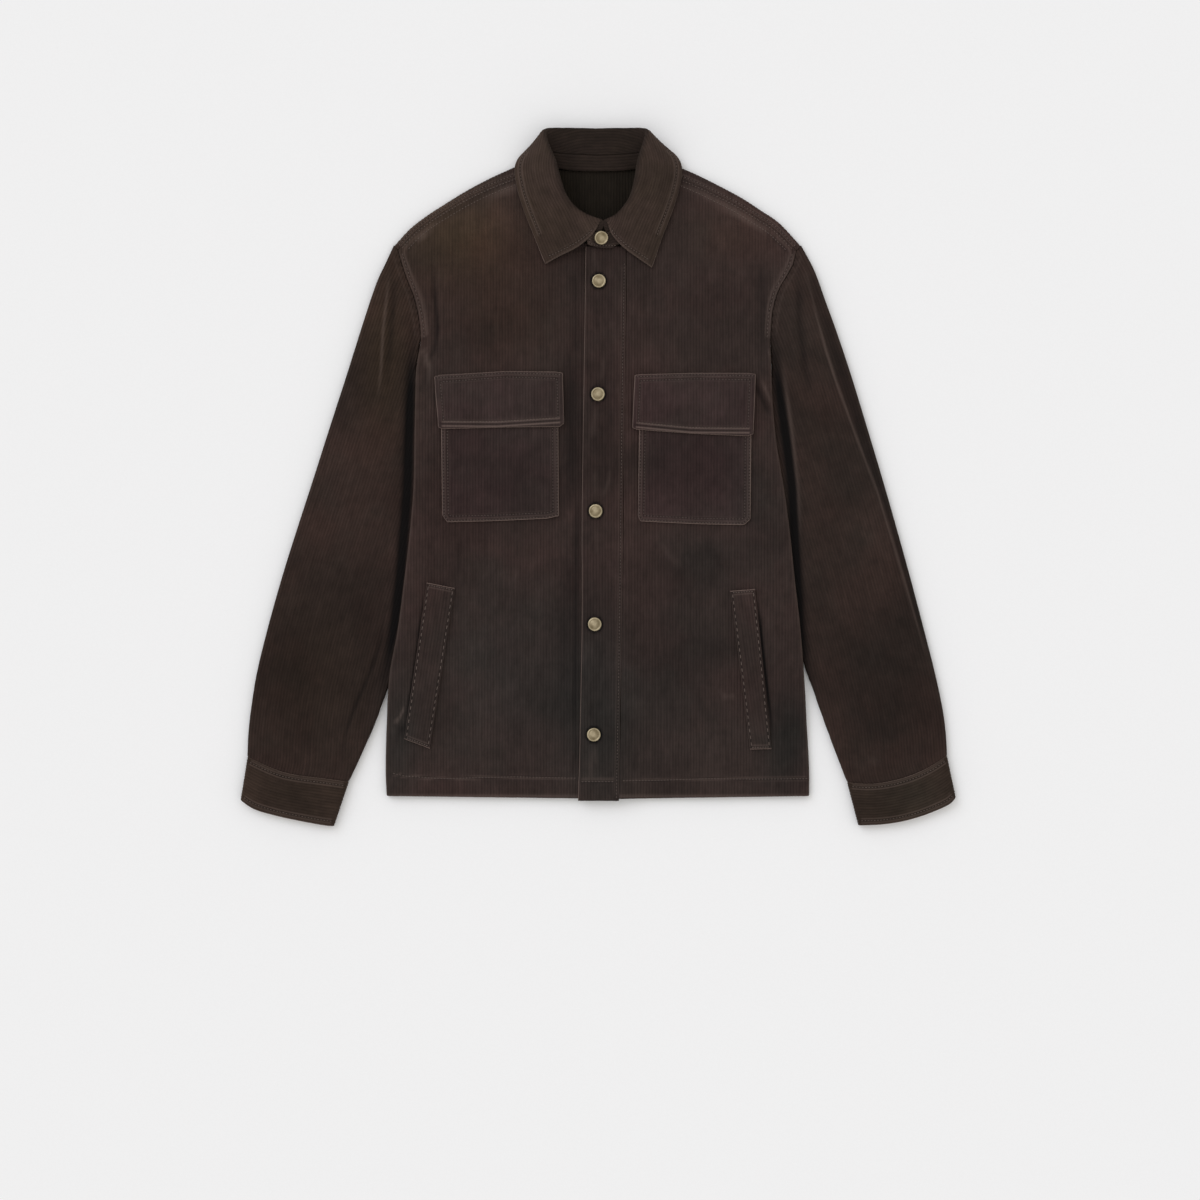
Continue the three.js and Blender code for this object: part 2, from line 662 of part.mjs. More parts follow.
function placketGeometry() {
  const edge = column(PLACKET, (row) => row.edge);
  const seam = column(PLACKET, (row) => row.seam);
  const y = column(PLACKET, (row) => row.y);
  const grid = spread(22).map((t) => [0, 0.06, 0.5, 1].map((u) =>
    new THREE.Vector3(lerp(edge(t), seam(t), u), y(t), 0)));
  return layer(grid, placketUnder, placketTop);
}

// Chest pockets and flaps lie on their front, and a flap lies on the pocket's upper part

function pocketGeometry(side) {
  const { bottom, top } = CHEST_POCKET[side];
  const grid = panelGrid(bottom, top, 2, spread(6));
  const under = (x, y) => frontTop[side](x, y) + LAY_GAP;
  return layer(grid, under, (x, y) => under(x, y) + POCKET_CLOTH);
}

function flapUnder(side) {
  const pocketTop = Math.max(...CHEST_POCKET[side].top.map(([, y]) => y));
  const step = POCKET_CLOTH + SEAM_GAP;
  return (x, y) => frontTop[side](x, y) + LAY_GAP + step * (1 - smooth(pocketTop + 1, pocketTop + 16, y));
}

function flapGeometry(side) {
  const { bottom, top } = CHEST_FLAP[side];
  const under = flapUnder(side);
  const rowStops = [0, 0.25, 0.5, 0.75, 1];
  return layer(panelGrid(bottom, top, 2, rowStops), under, (x, y) => under(x, y) + FLAP_CLOTH);
}

function weltGeometry(side) {
  const { bottom, top } = HIP_WELT[side];
  const under = (x, y) => frontTop[side](x, y) + LAY_GAP;
  return layer(panelGrid(bottom, top, 2, spread(9)), under, (x, y) => under(x, y) + WELT_CLOTH);
}

function panelGrid(bottom, top, stepsPerSide, rowStops) {
  const [low, high] = [bentLine(bottom), bentLine(top)];
  const stops = spread((bottom.length - 1) * stepsPerSide);
  return rowStops.map((v) => stops.map((u) => new THREE.Vector3().lerpVectors(low(u), high(u), v)));
}

// A flattened tube's ring: across from the outer edge over the top, and back along the underside

function ringAcross(width) {
  const ends = [0, 0.25, 1].map((share) => share * SLEEVE_ROUND);
  const middle = spread(8).slice(1, -1).map((share) => lerp(SLEEVE_ROUND, width - SLEEVE_ROUND, share));
  const over = [...ends, ...middle, ...ends.map((end) => width - end).reverse()];
  const back = spread(9).slice(1, -1).map((share) => lerp(width - SLEEVE_ROUND, SLEEVE_ROUND, share));
  return [
    ...over.map((across) => ({ across, above: true })),
    ...[width - SLEEVE_ROUND, ...back, SLEEVE_ROUND].map((across) => ({ across, above: false })),
  ];
}

// One section of a flattened tube. plan(t) gives the plan point at a share of its width.
function flatRing(plan, width, heightAt, cloth) {
  const outer = [];
  const inner = [];
  for (const { across, above } of ringAcross(width)) {
    const t = across / width;
    const { x, y } = plan(t);
    const height = heightAt(t, x, y);
    const near = Math.min(across, width - across);
    const round = Math.sqrt(Math.max(0, 1 - (1 - Math.min(near / SLEEVE_ROUND, 1)) ** 2));
    const half = Math.min(height, SLEEVE_HEIGHT) / 2;
    outer.push(new THREE.Vector3(x, y, above ? half + (height - half) * round : half - half * round));
    const inset = (t * (width - 2 * cloth) + cloth) / width;
    const within = plan(inset);
    const reach = Math.min(near / SLEEVE_ROUND, 1);
    const [high, low] = [height - cloth - half, half - cloth];
    inner.push(new THREE.Vector3(within.x, within.y, half + (above ? high : -low) * Math.max(reach, 0)));
  }
  return { outer, inner };
}

function sleevePlan(side) {
  const rows = SLEEVE[side];
  const outerX = column(rows, (row) => row.outerX);
  const outerY = column(rows, (row) => row.outerY);
  const innerX = column(rows, (row) => row.innerX);
  const innerY = column(rows, (row) => row.innerY);
  const sign = SIDES[side];
  const armhole = lineThrough([
    [outerX(0), outerY(0)],
    ...armholeLine(side, SEAM_GAP).reverse().slice(0, -1).map(([x, y]) => [x + sign * 1.3, y]),
    [innerX(0), innerY(0)],
  ]);
  const cuff = lineThrough(CUFF[side].seam);
  const across = (s, t) => {
    const outer = new THREE.Vector3(outerX(s), outerY(s), 0);
    return outer.lerp(new THREE.Vector3(innerX(s), innerY(s), 0), t);
  };
  return (s, t) => {
    const place = across(s, t);
    place.addScaledVector(armhole(t).sub(across(0, t)), 1 - smooth(0, 0.2, s));
    return place.addScaledVector(cuff(t).sub(across(1, t)), smooth(0.86, 1, s));
  };
}

function sleeveHeight(side) {
  const inner = column(SLEEVE[side], (row) => row.height);
  return (s, t, x, y) => {
    const full = lerp(ARMHOLE_HEIGHT, SLEEVE_HEIGHT, smooth(0, 0.12, s));
    const body = lerp(full, inner(s), smooth(0.62, 0.86, t));
    const folds = foldHeight(SLEEVE_FOLDS, x, y) * smooth(0, 0.06, s) * (1 - smooth(0.96, 1, s));
    return body + folds * smooth(0, 0.07, t) * (1 - smooth(0.78, 0.88, t));
  };
}

function sleeveGeometry(side) {
  const plan = sleevePlan(side);
  const height = sleeveHeight(side);
  const rings = [0, 0.03, 0.07, ...spread(17).slice(2)].map((s) => {
    const across = (t) => plan(s, t);
    const width = across(0).distanceTo(across(1));
    return flatRing(across, width, (t, x, y) => height(s, t, x, y), SLEEVE_CLOTH);
  });
  return facingOut(tube(rings.map((ring) => ring.outer), rings.map((ring) => ring.inner)));
}

function cuffGeometry(side) {
  const [seam, end] = [lineThrough(CUFF[side].seam), lineThrough(CUFF[side].end)];
  const rings = [0.02, 0.12, 0.5, 0.88, 1].map((s) => {
    const across = (t) => seam(t).lerp(end(t), s);
    const width = across(0).distanceTo(across(1));
    const height = lerp(SLEEVE_HEIGHT, CUFF_HEIGHT, smooth(0, 0.1, s));
    return flatRing(across, width, () => height, CUFF_CLOTH);
  });
  return facingOut(tube(rings.map((ring) => ring.outer), rings.map((ring) => ring.inner)));
}

// The collar. A section runs from the neck seam up the stand, over the roll and down the leaf.

function collarSection(t, sign) {
  const at = (name, axis) => column(COLLAR, (row) => row[name][axis])(t);
  const shift = column(COLLAR, (row) => row.shift)(t);
  const place = (name, offset) => new THREE.Vector3(at(name, 0) * sign + offset, at(name, 1), at(name, 2));
  const seam = place("seam", shift * smooth(0.7, 1, t));
  const roll = place("roll", shift);
  const edge = place("edge", 0);
  const stand = column(COLLAR, (row) => row.stand)(t);
  const { under } = foldFrame({ join: seam, roll, edge });
  return { seam, roll, edge, join: seam.clone().lerp(under, stand) };
}

// The fold's own directions, up out of it and across it, and the point under the roll on the stand's side
function foldFrame({ join, roll, edge }) {
  const inner = join.clone().sub(roll).normalize();
  const outer = edge.clone().sub(roll).normalize();
  const across = outer.clone().sub(inner).normalize();
  const up = outer.clone().add(inner).normalize().negate();
  const beside = (way) =>
    roll.clone().addScaledVector(up, -ROLL_FOLD / 2).addScaledVector(across, way * ROLL_FOLD / 2);
  return { up, across, under: beside(-1), over: beside(1) };
}

// The wall's middle line over the roll, with the direction that faces out of the fold at each point
function leafLine({ join, roll, edge }) {
  const { up, across, under, over } = foldFrame({ join, roll, edge });
  const start = join.clone().addScaledVector(under.clone().sub(join).normalize(), COLLAR_GAP / 2);
  const fall = (share) =>
    over.clone().lerp(edge, share).addScaledVector(across, LEAF_BULGE * share * (1 - share));
  const points = [start, under, roll, over, fall(0.3), fall(0.62), edge];
  return points.map((here, index) => {
    const before = points[Math.max(index - 1, 0)];
    const after = points[Math.min(index + 1, points.length - 1)];
    const tangent = after.clone().sub(before).normalize();
    const [rise, run] = [tangent.dot(up), tangent.dot(across)];
    const facing = up.clone().multiplyScalar(run).addScaledVector(across, -rise).normalize();
    return { here, facing };
  });
}

// The stand's middle line, with the direction that faces away from the neck
function standLine({ seam, join }, index, sections) {
  const before = sections[Math.max(index - 1, 0)].seam;
  const after = sections[Math.min(index + 1, sections.length - 1)].seam;
  const along = join.clone().sub(seam).normalize();
  const facing = along.clone().cross(after.clone().sub(before)).normalize();
  const end = join.clone().addScaledVector(along, -COLLAR_GAP / 2);
  return [0, 0.33, 0.67, 1].map((share) => ({ here: seam.clone().lerp(end, share), facing }));
}

function collarWall(sections, lineOf) {
  const offset = (way) => (section, index) => lineOf(section, index, sections).map(({ here, facing }) =>
    here.clone().addScaledVector(facing, way * COLLAR_CLOTH / 2));
  return facingOut(wall(sections.map(offset(1)), sections.map(offset(-1))));
}

function collarSections(steps) {
  const half = spread(steps);
  const right = half.slice(1).reverse().map((t) => collarSection(t, SIDES.right));
  return [...right, ...half.map((t) => collarSection(t, SIDES.left))];
}

function collarLeafGeometry() {
  return collarWall(collarSections(18), leafLine);
}

// The stand starts at the placket's free edge, runs round the neck and ends in the tab over the placket
function collarStandGeometry() {
  const sections = collarSections(16);
  const last = sections.at(-1);
  const slope = (last.join.z - last.seam.z) / (last.join.y - last.seam.y);
  const tab = [0.4, 0.75, 1].map((share) => {
    const x = lerp(last.seam.x, TAB_END.x, share);
    const middle = (TAB_END.seamY + TAB_END.topY) / 2;
    const round = Math.sqrt(1 - TAB_ROUND * share * share);
    const place = (target) => {
      const y = lerp(middle, target, round);
      return new THREE.Vector3(x, y, last.seam.z + slope * (y - last.seam.y));
    };
    return { seam: place(TAB_END.seamY), join: place(TAB_END.topY) };
  });
  const first = sections.findIndex((section) => section.seam.x < TAB_END.x - 4 && section.seam.y < 300);
  return collarWall([...sections.slice(Math.max(first, 2)), ...tab], standLine);
}

// Snap caps: a raised rim round a shallow dish with a domed middle

function snapGeometry() {
  const profile = [
    [0, 0],
    [SNAP_RADIUS, 0],
    [SNAP_RADIUS, SNAP_HEIGHT * 0.55],
    [SNAP_RADIUS - 0.8, SNAP_HEIGHT * 0.9],
    [SNAP_RADIUS - 2.2, SNAP_HEIGHT * 0.66],
    [SNAP_RADIUS * 0.35, SNAP_HEIGHT * 0.92],
    [0, SNAP_HEIGHT],
  ];
  const geometry = new THREE.LatheGeometry(profile.map(([x, y]) => new THREE.Vector2(x, y)), SNAP_FACETS);
  geometry.rotateX(Math.PI / 2);
  return geometry;
}

const materials = Object.fromEntries(Object.keys(COLOURS).map((name) => [name, () =>
  new THREE.MeshStandardMaterial({
    color: COLOURS[name],
    roughness: name === "brass" ? 0.45 : 0.95,
    metalness: name === "brass" ? 0.9 : 0,
  })]));

const jacket = new THREE.Group();

function add(name, geometry, finish) {
  const mesh = new THREE.Mesh(geometry, materials[finish]());
  mesh.name = name;
  jacket.add(mesh);
  return mesh;
}

add("back", backGeometry(), "body");
add("front_right", frontRightGeometry(), "body");
add("front_left", frontLeftGeometry(), "body");
add("placket", placketGeometry(), "placket");
for (const side of Object.keys(SIDES)) {
  add("yoke_" + side, yokeGeometry(side), "body");
  add("sleeve_" + side, sleeveGeometry(side), "sleeve");
  add("cuff_" + side, cuffGeometry(side), "sleeve");
  add("chest_pocket_" + side, pocketGeometry(side), "pocket");
  add("chest_flap_" + side, flapGeometry(side), "flap");
  add("hip_welt_" + side, weltGeometry(side), "body");
}
add("collar_leaf", collarLeafGeometry(), "collar");
add("collar_stand", collarStandGeometry(), "inner");

SNAPS.forEach(({ x, y }, index) => {
  const snap = add("snap_" + (index + 1), snapGeometry(), "brass");
  if (index === 0) {
    const { seam, join } = collarSection(1, SIDES.left);
    const slope = Math.atan2(join.z - seam.z, join.y - seam.y);
    const base = seam.z + Math.tan(slope) * (y - seam.y) + (COLLAR_CLOTH / 2 + SEAM_GAP) / Math.cos(slope);
    snap.position.set(x, y, base);
    snap.rotation.x = slope;
  } else {
    snap.position.set(x, y, placketTop(x, y) + SEAM_GAP);
  }
});

// The origin goes to the middle of the base
jacket.updateMatrixWorld(true);
const middle = new THREE.Box3().setFromObject(jacket).getCenter(new THREE.Vector3());
jacket.position.set(-middle.x, -middle.y, 0);

export default jacket;
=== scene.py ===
"""Looks of a corduroy jacket, snapped up to the collar and laid flat on its back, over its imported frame.

The tables are millimetres in the cutting plan: X to the wearer's left, Y from the hem to the collar and Z up.
Every mesh is metres in the row frame. Right and left are the wearer's.
"""
import logging
import math
from collections.abc import Callable, Iterable, Sequence
from dataclasses import dataclass, field
from enum import Enum

import bpy
import numpy as np
from bpy.types import Material, Mesh, NodeSocket as Socket, Object
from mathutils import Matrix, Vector
from mathutils.bvhtree import BVHTree


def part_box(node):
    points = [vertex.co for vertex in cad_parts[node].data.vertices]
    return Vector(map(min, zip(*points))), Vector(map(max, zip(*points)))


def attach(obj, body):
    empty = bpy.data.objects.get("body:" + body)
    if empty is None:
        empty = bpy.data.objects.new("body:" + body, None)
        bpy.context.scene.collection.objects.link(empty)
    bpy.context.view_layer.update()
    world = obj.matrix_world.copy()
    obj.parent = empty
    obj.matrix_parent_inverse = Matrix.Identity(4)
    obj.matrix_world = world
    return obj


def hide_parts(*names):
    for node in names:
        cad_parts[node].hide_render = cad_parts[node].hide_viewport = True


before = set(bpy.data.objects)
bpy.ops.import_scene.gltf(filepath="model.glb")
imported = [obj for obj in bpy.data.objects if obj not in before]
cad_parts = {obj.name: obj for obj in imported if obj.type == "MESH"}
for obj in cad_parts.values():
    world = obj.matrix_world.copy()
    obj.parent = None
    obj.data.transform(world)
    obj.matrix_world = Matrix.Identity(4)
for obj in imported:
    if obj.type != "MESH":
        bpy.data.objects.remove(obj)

log = logging.getLogger("jacket")

Array = np.ndarray
Curve = Callable[[Array], Array]
Surface = Callable[[Array, Array], Array]
Height = Callable[[Array, Array, Array, Array], Array]
Path = Sequence[Sequence[float]] | Array
Value = float | Socket
Pair = tuple[float, float]
Names = tuple[str, ...]
Colour = tuple[int, int, int]

MM = 0.001
ORIGIN_SHIFT = np.array([0.25, 1.171, 0.0])

# Cloth thicknesses and the air between the layers
SEAM_GAP = 0.3
LAY_GAP = 0.6
BODY_CLOTH = 2.8
SLEEVE_CLOTH = 2.6
CUFF_CLOTH = 3.2
COLLAR_CLOTH = 3.0
PLACKET_CLOTH = 3.4
POCKET_CLOTH = 2.0
FLAP_CLOTH = 2.8
WELT_CLOTH = 2.4
BODY_AIR = 1.1

# Body
HEM_Y = -347.0
HEM_BAND = 22.0
HEM_RISE = 0.7
ARMPIT_Y = 149.0
TUCK_LIFT = 7.6
TUCK_REACH = 80.0
TUCK_FLAT = 18.0
BACK_INSET = 4.0
BACK_ARMHOLE_INSET = 1.6
ARMPIT_SHARE = 0.78
UNDERLAP = 7.0
NECK_BASE_Y = 251.0
PLACKET_SLOPE = 30.0

# Sleeves, cuffs and collar
ARMHOLE_HEIGHT = 5.8
SLEEVE_HEIGHT = 8.4
CUFF_HEIGHT = 9.0
SLEEVE_ROUND = 4.2
TURN_STOPS = 8
ROLL_FOLD = 4.6
LEAF_BULGE = 6.0
LEFT_TIP_DROP = 4.2
COLLAR_GAP = 0.3
COLLAR_SWING = 8.0
TAB_END_X, TAB_SEAM_Y, TAB_TOP_Y = -12.0, 248.5, 267.0
TAB_ROUND = 0.75

# Corduroy
WALE_PITCH = 3.2
WALE_RELIEF = 0.44
WALE_MEAN = 0.62
EDGE_ROUND = 1.5
EDGE_FLAT = 0.3
# Rims drawn lighter, as rubbed nap and painted highlight: their width and how much
RIM_WIDTH = 0.8
RIM_WEAR_AND_HIGHLIGHT = 0.85

# Stops of the grids and curves
INNER_STEP = 4
CURVE_STEPS = 24
ROLL_STOPS = 16
CLOSE_STOPS = (0.0, 0.25, 0.6, 1.1, 1.7)

# Stitches: places round one, its three rings as share of the way, swell and lift, and where they drop from
STITCH_SIDES = 5
STITCH_RINGS = np.array([[0.12, 0.78, -0.2], [0.5, 1.0, 0.5], [0.88, 0.78, -0.2]])
DROP_FROM = 0.2


class Side(Enum):
    """The wearer's side of a paired piece, with its sign along X."""

    RIGHT = -1
    LEFT = 1

    @property
    def word(self) -> str:
        """The side's name as the frame's nodes end."""
        return self.name.lower()


# The body's side edge from the hem to the armpit: y, right x, left x
SIDE_EDGE = np.array([
    [-347, -230.5, 229.5], [-320, -231.5, 229.5], [-265, -230, 226.5], [-215, -227, 223.5],
    [-165, -218, 219.5], [-112, -211, 213.5], [-60, -205, 208], [-12, -201, 201.5],
    [37, -200, 193.5], [85, -199, 189], [118, -198, 188], [ARMPIT_Y, -193, 187],
])
# Where the body lies on a sleeve: the y at which its lift starts, is whole, starts to end and ends
TUCK = {Side.RIGHT: (-330, -240, 94, ARMPIT_Y + 26), Side.LEFT: (-300, -200, 94, ARMPIT_Y + 26)}
ARMHOLE = {
    Side.RIGHT: [[-193, ARMPIT_Y], [-194, 165], [-197, 183], [-201, 198], [-207, 213], [-213, 230]],
    Side.LEFT: [[187, ARMPIT_Y], [188, 168], [190.5, 186], [196, 204], [204.5, 219], [211.5, 232]],
}
# The shoulder ridge from the neck out: x, y and the width of the yoke's strip in front of it
SHOULDER = {
    Side.RIGHT: np.array([
        [-66, 348, 11], [-95, 336, 10.5], [-122, 323.5, 9], [-146, 310.5, 7.5],
        [-167, 297.5, 6.5], [-187, 284.5, 6], [-205, 270.5, 6], [-222.5, 251.5, 6],
    ]),
    Side.LEFT: np.array([
        [66, 348, 11], [91, 336.5, 10.5], [108, 329, 10], [133, 316.5, 9.5],
        [157, 303.5, 9], [177, 290.5, 8.5], [196, 277.5, 8], [220.5, 251.5, 7],
    ]),
}
# Share of the back's top edge that each shoulder takes, and the creases inside its neck: x, half width, rise
SHOULDER_SHARE = 0.36
NECK_CREASES = [(-14, 7, 0.7), (17, 6, 0.6)]
FRONT_NECK = [[5, 251.5], [23, 258.5], [42, 274.5], [55.5, 296], [61.5, 318], [62.5, 336]]
BACK_NECK = [[-50, 337.5], [-22, 336], [22, 336], [50, 337.5]]
# The placket from the hem up: y, free edge x, seam x
PLACKET = np.array([
    [-352, -22, 22], [-277, -20, 23.5], [-160, -18, 25.5], [-34, -18, 27], [90, -16, 28.5], [251, -14, 31],
])
# The sleeve's sections: outer edge x and y, inner edge x and y, height of the inner edge
SLEEVE = {
    Side.RIGHT: np.array([
        [-222.7, 252.3, -193.8, 148.5, 5.8], [-232, 232, -196.4, 132, 5.8], [-242, 210, -198.3, 112, 6.2],
        [-257, 165, -194, 84, 6.6], [-274, 111, -189, 45, 6.6], [-291.5, 57, -188, 3, 6.6],
        [-309, 2, -190, -40, 6.6], [-326.5, -52, -195, -83, 6.6], [-343.5, -106, -201, -125, 6.6],
        [-359, -161, -208.5, -165, 6.6], [-371.5, -212, -219.5, -204, 6.6], [-378, -252, -233, -240, 7.2],
        [-381, -280, -246, -275, 8], [-382, -305, -272, -332.5, 8.4],
    ]),
    Side.LEFT: np.array([
        [220.7, 252.3, 187.8, 148.5, 5.8], [235, 225, 188.0, 132, 5.8], [247, 192, 188.8, 112, 6.2],
        [260, 156, 184.5, 84, 6.6], [275, 111, 180.5, 45, 6.6], [291.5, 57, 184, 3, 6.6],
        [308, 2, 190, -40, 6.6], [323.5, -52, 196, -83, 6.6], [338.5, -106, 203, -122, 6.6],
        [353, -161, 212, -160, 6.6], [366, -212, 221.8, -197, 6.6], [374.5, -252, 235, -235, 7.2],
        [378, -278, 248, -272, 8], [379.5, -303.5, 271, -333, 8.4],
    ]),
}
# The rings of a sleeve's seam allowance: reach under the front, and height on top and below
ALLOWANCE = [(4.0, 3.25, 2.95), (2.2, 3.35, 2.93), (1.2, 3.7, 2.3), (0.5, 4.9, 0.8)]
CUFF_SEAM = {
    Side.RIGHT: [[-382, -305], [-363, -314], [-346, -321], [-328, -325], [-300, -328.5], [-272, -332.5]],
    Side.LEFT: [[379.5, -303.5], [362, -315], [341, -325], [316, -332], [294, -334.5], [271, -333]],
}
CUFF_LENGTH = 49.0
CUFF_END = {
    Side.RIGHT: [[-389.5, -351.5], [-375, -361], [-350, -368.5], [-325, -374], [-300, -378.5], [-288, -380]],
    Side.LEFT: [[389, -348.5], [383, -355], [362, -365], [337, -373], [312, -377.5], [283, -379]],
}
# Half the collar's sections from the middle of the back: neck seam, roll and outer edge as x, y, z,
# the stand's share of the way up to the roll, and how far the roll is off the middle
COLLAR = np.array([
    [0, 333, 4.8, 0, 377, 10.5, 0, 342, 1.8, 0.42, -3],
    [28, 334, 4.8, 32, 377.5, 12, 36, 344, 1.8, 0.42, -3],
    [52, 338, 5, 54.5, 375.5, 20, 65, 353, 2.4, 0.44, -3],
    [62.5, 344, 8, 54, 364, 29, 82, 351, 5, 0.48, -3],
    [65.5, 338, 8.2, 46.5, 342, 35, 90.5, 337, 9, 0.5, -2],
    [64.5, 318, 8.2, 42, 321, 35.5, 88, 315, 9.2, 0.5, -1],
    [58, 295, 9.2, 36.5, 304, 32, 80.5, 290, 9.2, 0.52, 0],
    [44, 272, 10.8, 27, 291, 27.5, 70.5, 264, 9.2, 0.55, 1],
    [26, 256.5, 12.6, 15.5, 282.5, 23.5, 62.5, 243, 9.2, 0.6, 3.5],
    [8, 249, 12.8, 1.0, 276.8, 21.5, 58, 232, 9.4, 0.66, 5.6],
])
CHEST_POCKET = {
    Side.RIGHT: ([[-169, -42], [-164, -49], [-109, -47.5], [-56, -45], [-43, -42]],
                 [[-171, 95], [-166, 95], [-109, 95], [-56, 95], [-44, 95]]),
    Side.LEFT: ([[43, -42], [46, -48], [108, -51], [158, -52], [165, -46]],
                [[45.5, 95], [50, 95], [108, 95], [156, 95], [166, 95]]),
}
CHEST_FLAP = {
    Side.RIGHT: ([[-173.5, 54], [-170, 51.8], [-109, 54], [-42, 54.5], [-37.5, 58.5]],
                 [[-178, 108.5], [-172, 110.5], [-99, 115], [-46, 114.5], [-39, 113]]),
    Side.LEFT: ([[36.8, 53.5], [41, 51.5], [100, 47.5], [162, 44], [168, 46.5]],
                [[39.5, 110.5], [46, 111.5], [108, 113], [164, 112.5], [170.5, 111]]),
}
HIP_WELT = {
    Side.RIGHT: ([[-210.5, -284.5], [-183.5, -295]], [[-186, -115], [-156, -121]]),
    Side.LEFT: ([[165, -296], [188, -295.5]], [[143.5, -124], [170, -122]]),
}
POCKET_TOP_Y = 95.0
# A front's cut in metres: width and length, and its area
FRONT_CUT = {Side.RIGHT: ((0.275, 0.70), 0.150), Side.LEFT: ((0.24, 0.70), 0.122)}
# The snaps' middles, from the collar down, and the radius of the ring of painted shade round each cap
SNAPS = [(3, 259.5), (0.5, 213), (-0.5, 90), (-3, -37), (-4, -160), (-5, -280)]
SNAP_RING = 8.2

# A rolled edge: the outer side's offset inward and share of the height, and the same for the inner side
ROLL_EDGE = np.array([[0.9, 0, 3.4, 0], [0, 0.3, 3.2, 0.4], [0.4, 0.68, 3.3, 0.8], [2.2, 0.93, 4.1, 1],
                      [6, 1, 6.8, 1]])
# A plain cut edge: the outer side's offset and share of the height, and the inner side's offset
CUT_EDGE = np.array([[0, 0.12, 0.4], [0, 0.45, 1], [0.15, 0.82, 1.8], [1, 1, 2.8], [6, 1, 6.8]])


@dataclass(frozen=True)
class Fold:
    """A soft ridge or trough laid in the cloth.

    Attributes:
        path: bent line in plan.
        width: half width of the bell across it.
        rise: height at the middle of the line, below zero for a trough.
        worn: how light it is drawn along it, as rubbed nap and painted highlight.
        shade: how dark it is painted along it, as shade in the trough.
    """

    path: Path
    width: float
    rise: float
    worn: float = 0.0
    shade: float = 0.0

    def profile(self, x: Array, y: Array) -> Array:
        """The fold's share from 0 to 1 at points in plan."""
        distance, share, _ = nearest(self.path, x, y)
        taper = smooth(0, 0.3, share) * smooth(0, 0.3, 1 - share)
        return np.exp(-((distance / self.width) ** 2)) * taper


FRONT_FOLDS = [
    Fold([[-192, 228], [-186, 190], [-184, 155]], 6, 2.2),
    Fold([[-168, 240], [-166, 190], [-166, 140]], 9, 1.8),
    Fold([[165, 250], [163, 200], [166, 140]], 10, 2),
    Fold([[184, 232], [181, 190], [182, 155]], 6, 1.6),
    Fold([[168, 116], [177, 98], [190, 70]], 8, 2.6),
    Fold([[64, -60], [93, -101], [137, -107]], 11, 1),
    Fold([[-120, -90], [-90, -190], [-95, -270]], 20, 0.9),
    Fold([[90, -150], [110, -230], [105, -290]], 18, 0.8),
    Fold([[-206, -244], [-200, -262], [-196, -296]], 9, 1.2),
    Fold([[-180, 246], [-178, 200], [-175, 162], [-178, 139], [-188, 118]], 2.6, -1.5, shade=0.55),
    Fold([[177, 256], [178, 205], [179, 150], [176, 120]], 5.5, -1.5, shade=0.3),
    Fold([[-197, 140], [-188, 133], [-183, 118], [-186, 92]], 3.2, 1.3, worn=0.15),
    Fold([[-176, 128], [-186, 108], [-195, 90]], 3, -0.9, shade=0.25),
    Fold([[168, 104], [176, 88], [189, 62]], 3, -1.5, shade=0.5),
    Fold([[175, 108], [183, 92], [190, 74]], 2.4, 0.9, worn=0.13),
    Fold([[60, -62], [78, -86], [94, -101]], 4, 0.4, worn=0.04),
    Fold([[96, -102], [122, -106], [150, -101]], 5, 0.6),
    Fold([[112, -72], [128, -88], [140, -106]], 4, -0.5, shade=0.2),
    Fold([[-221, -270], [-214, -258], [-209, -246]], 1.4, 0.8, worn=0.2),
    Fold([[-222, -290], [-212, -272], [-202, -262]], 3.4, -0.8, shade=0.3),
    Fold([[128, -232], [140, -240], [152, -238]], 3, 0.5, worn=0.08),
    Fold([[-148, -58], [-150, -90], [-158, -118]], 4, -0.5, shade=0.2),
    Fold([[-30, 150], [-29, 80], [-29, 20], [-31, -52]], 9.5, -1.0, shade=0.52),
    Fold([[-22, 20], [-24, -60], [-25, -160], [-26, -250], [-26.5, -352]], 3.2, -0.5, shade=0.5),
    Fold([[-30, -30], [-33, -120], [-36, -230], [-37, -320]], 9, -0.5, shade=0.22),
    Fold([[172.2, -124], [180.4, -204], [191, -292]], 1.7, -0.9, shade=0.98),
    Fold([[-187.9, -118], [-198.4, -198], [-212.8, -290]], 1.3, -0.6, shade=0.7),
    Fold([[-27, 240], [-25, 170], [-26, 110]], 5, -0.6, shade=0.3),
    Fold([[100, 232], [120, 200], [128, 160]], 16, 0.7),
    Fold([[-110, 236], [-100, 190], [-104, 140]], 17, 0.7),
    Fold([[-70, -70], [-60, -150], [-66, -240]], 14, -0.5),
    Fold([[60, -150], [72, -210], [66, -290]], 13, -0.5),
]
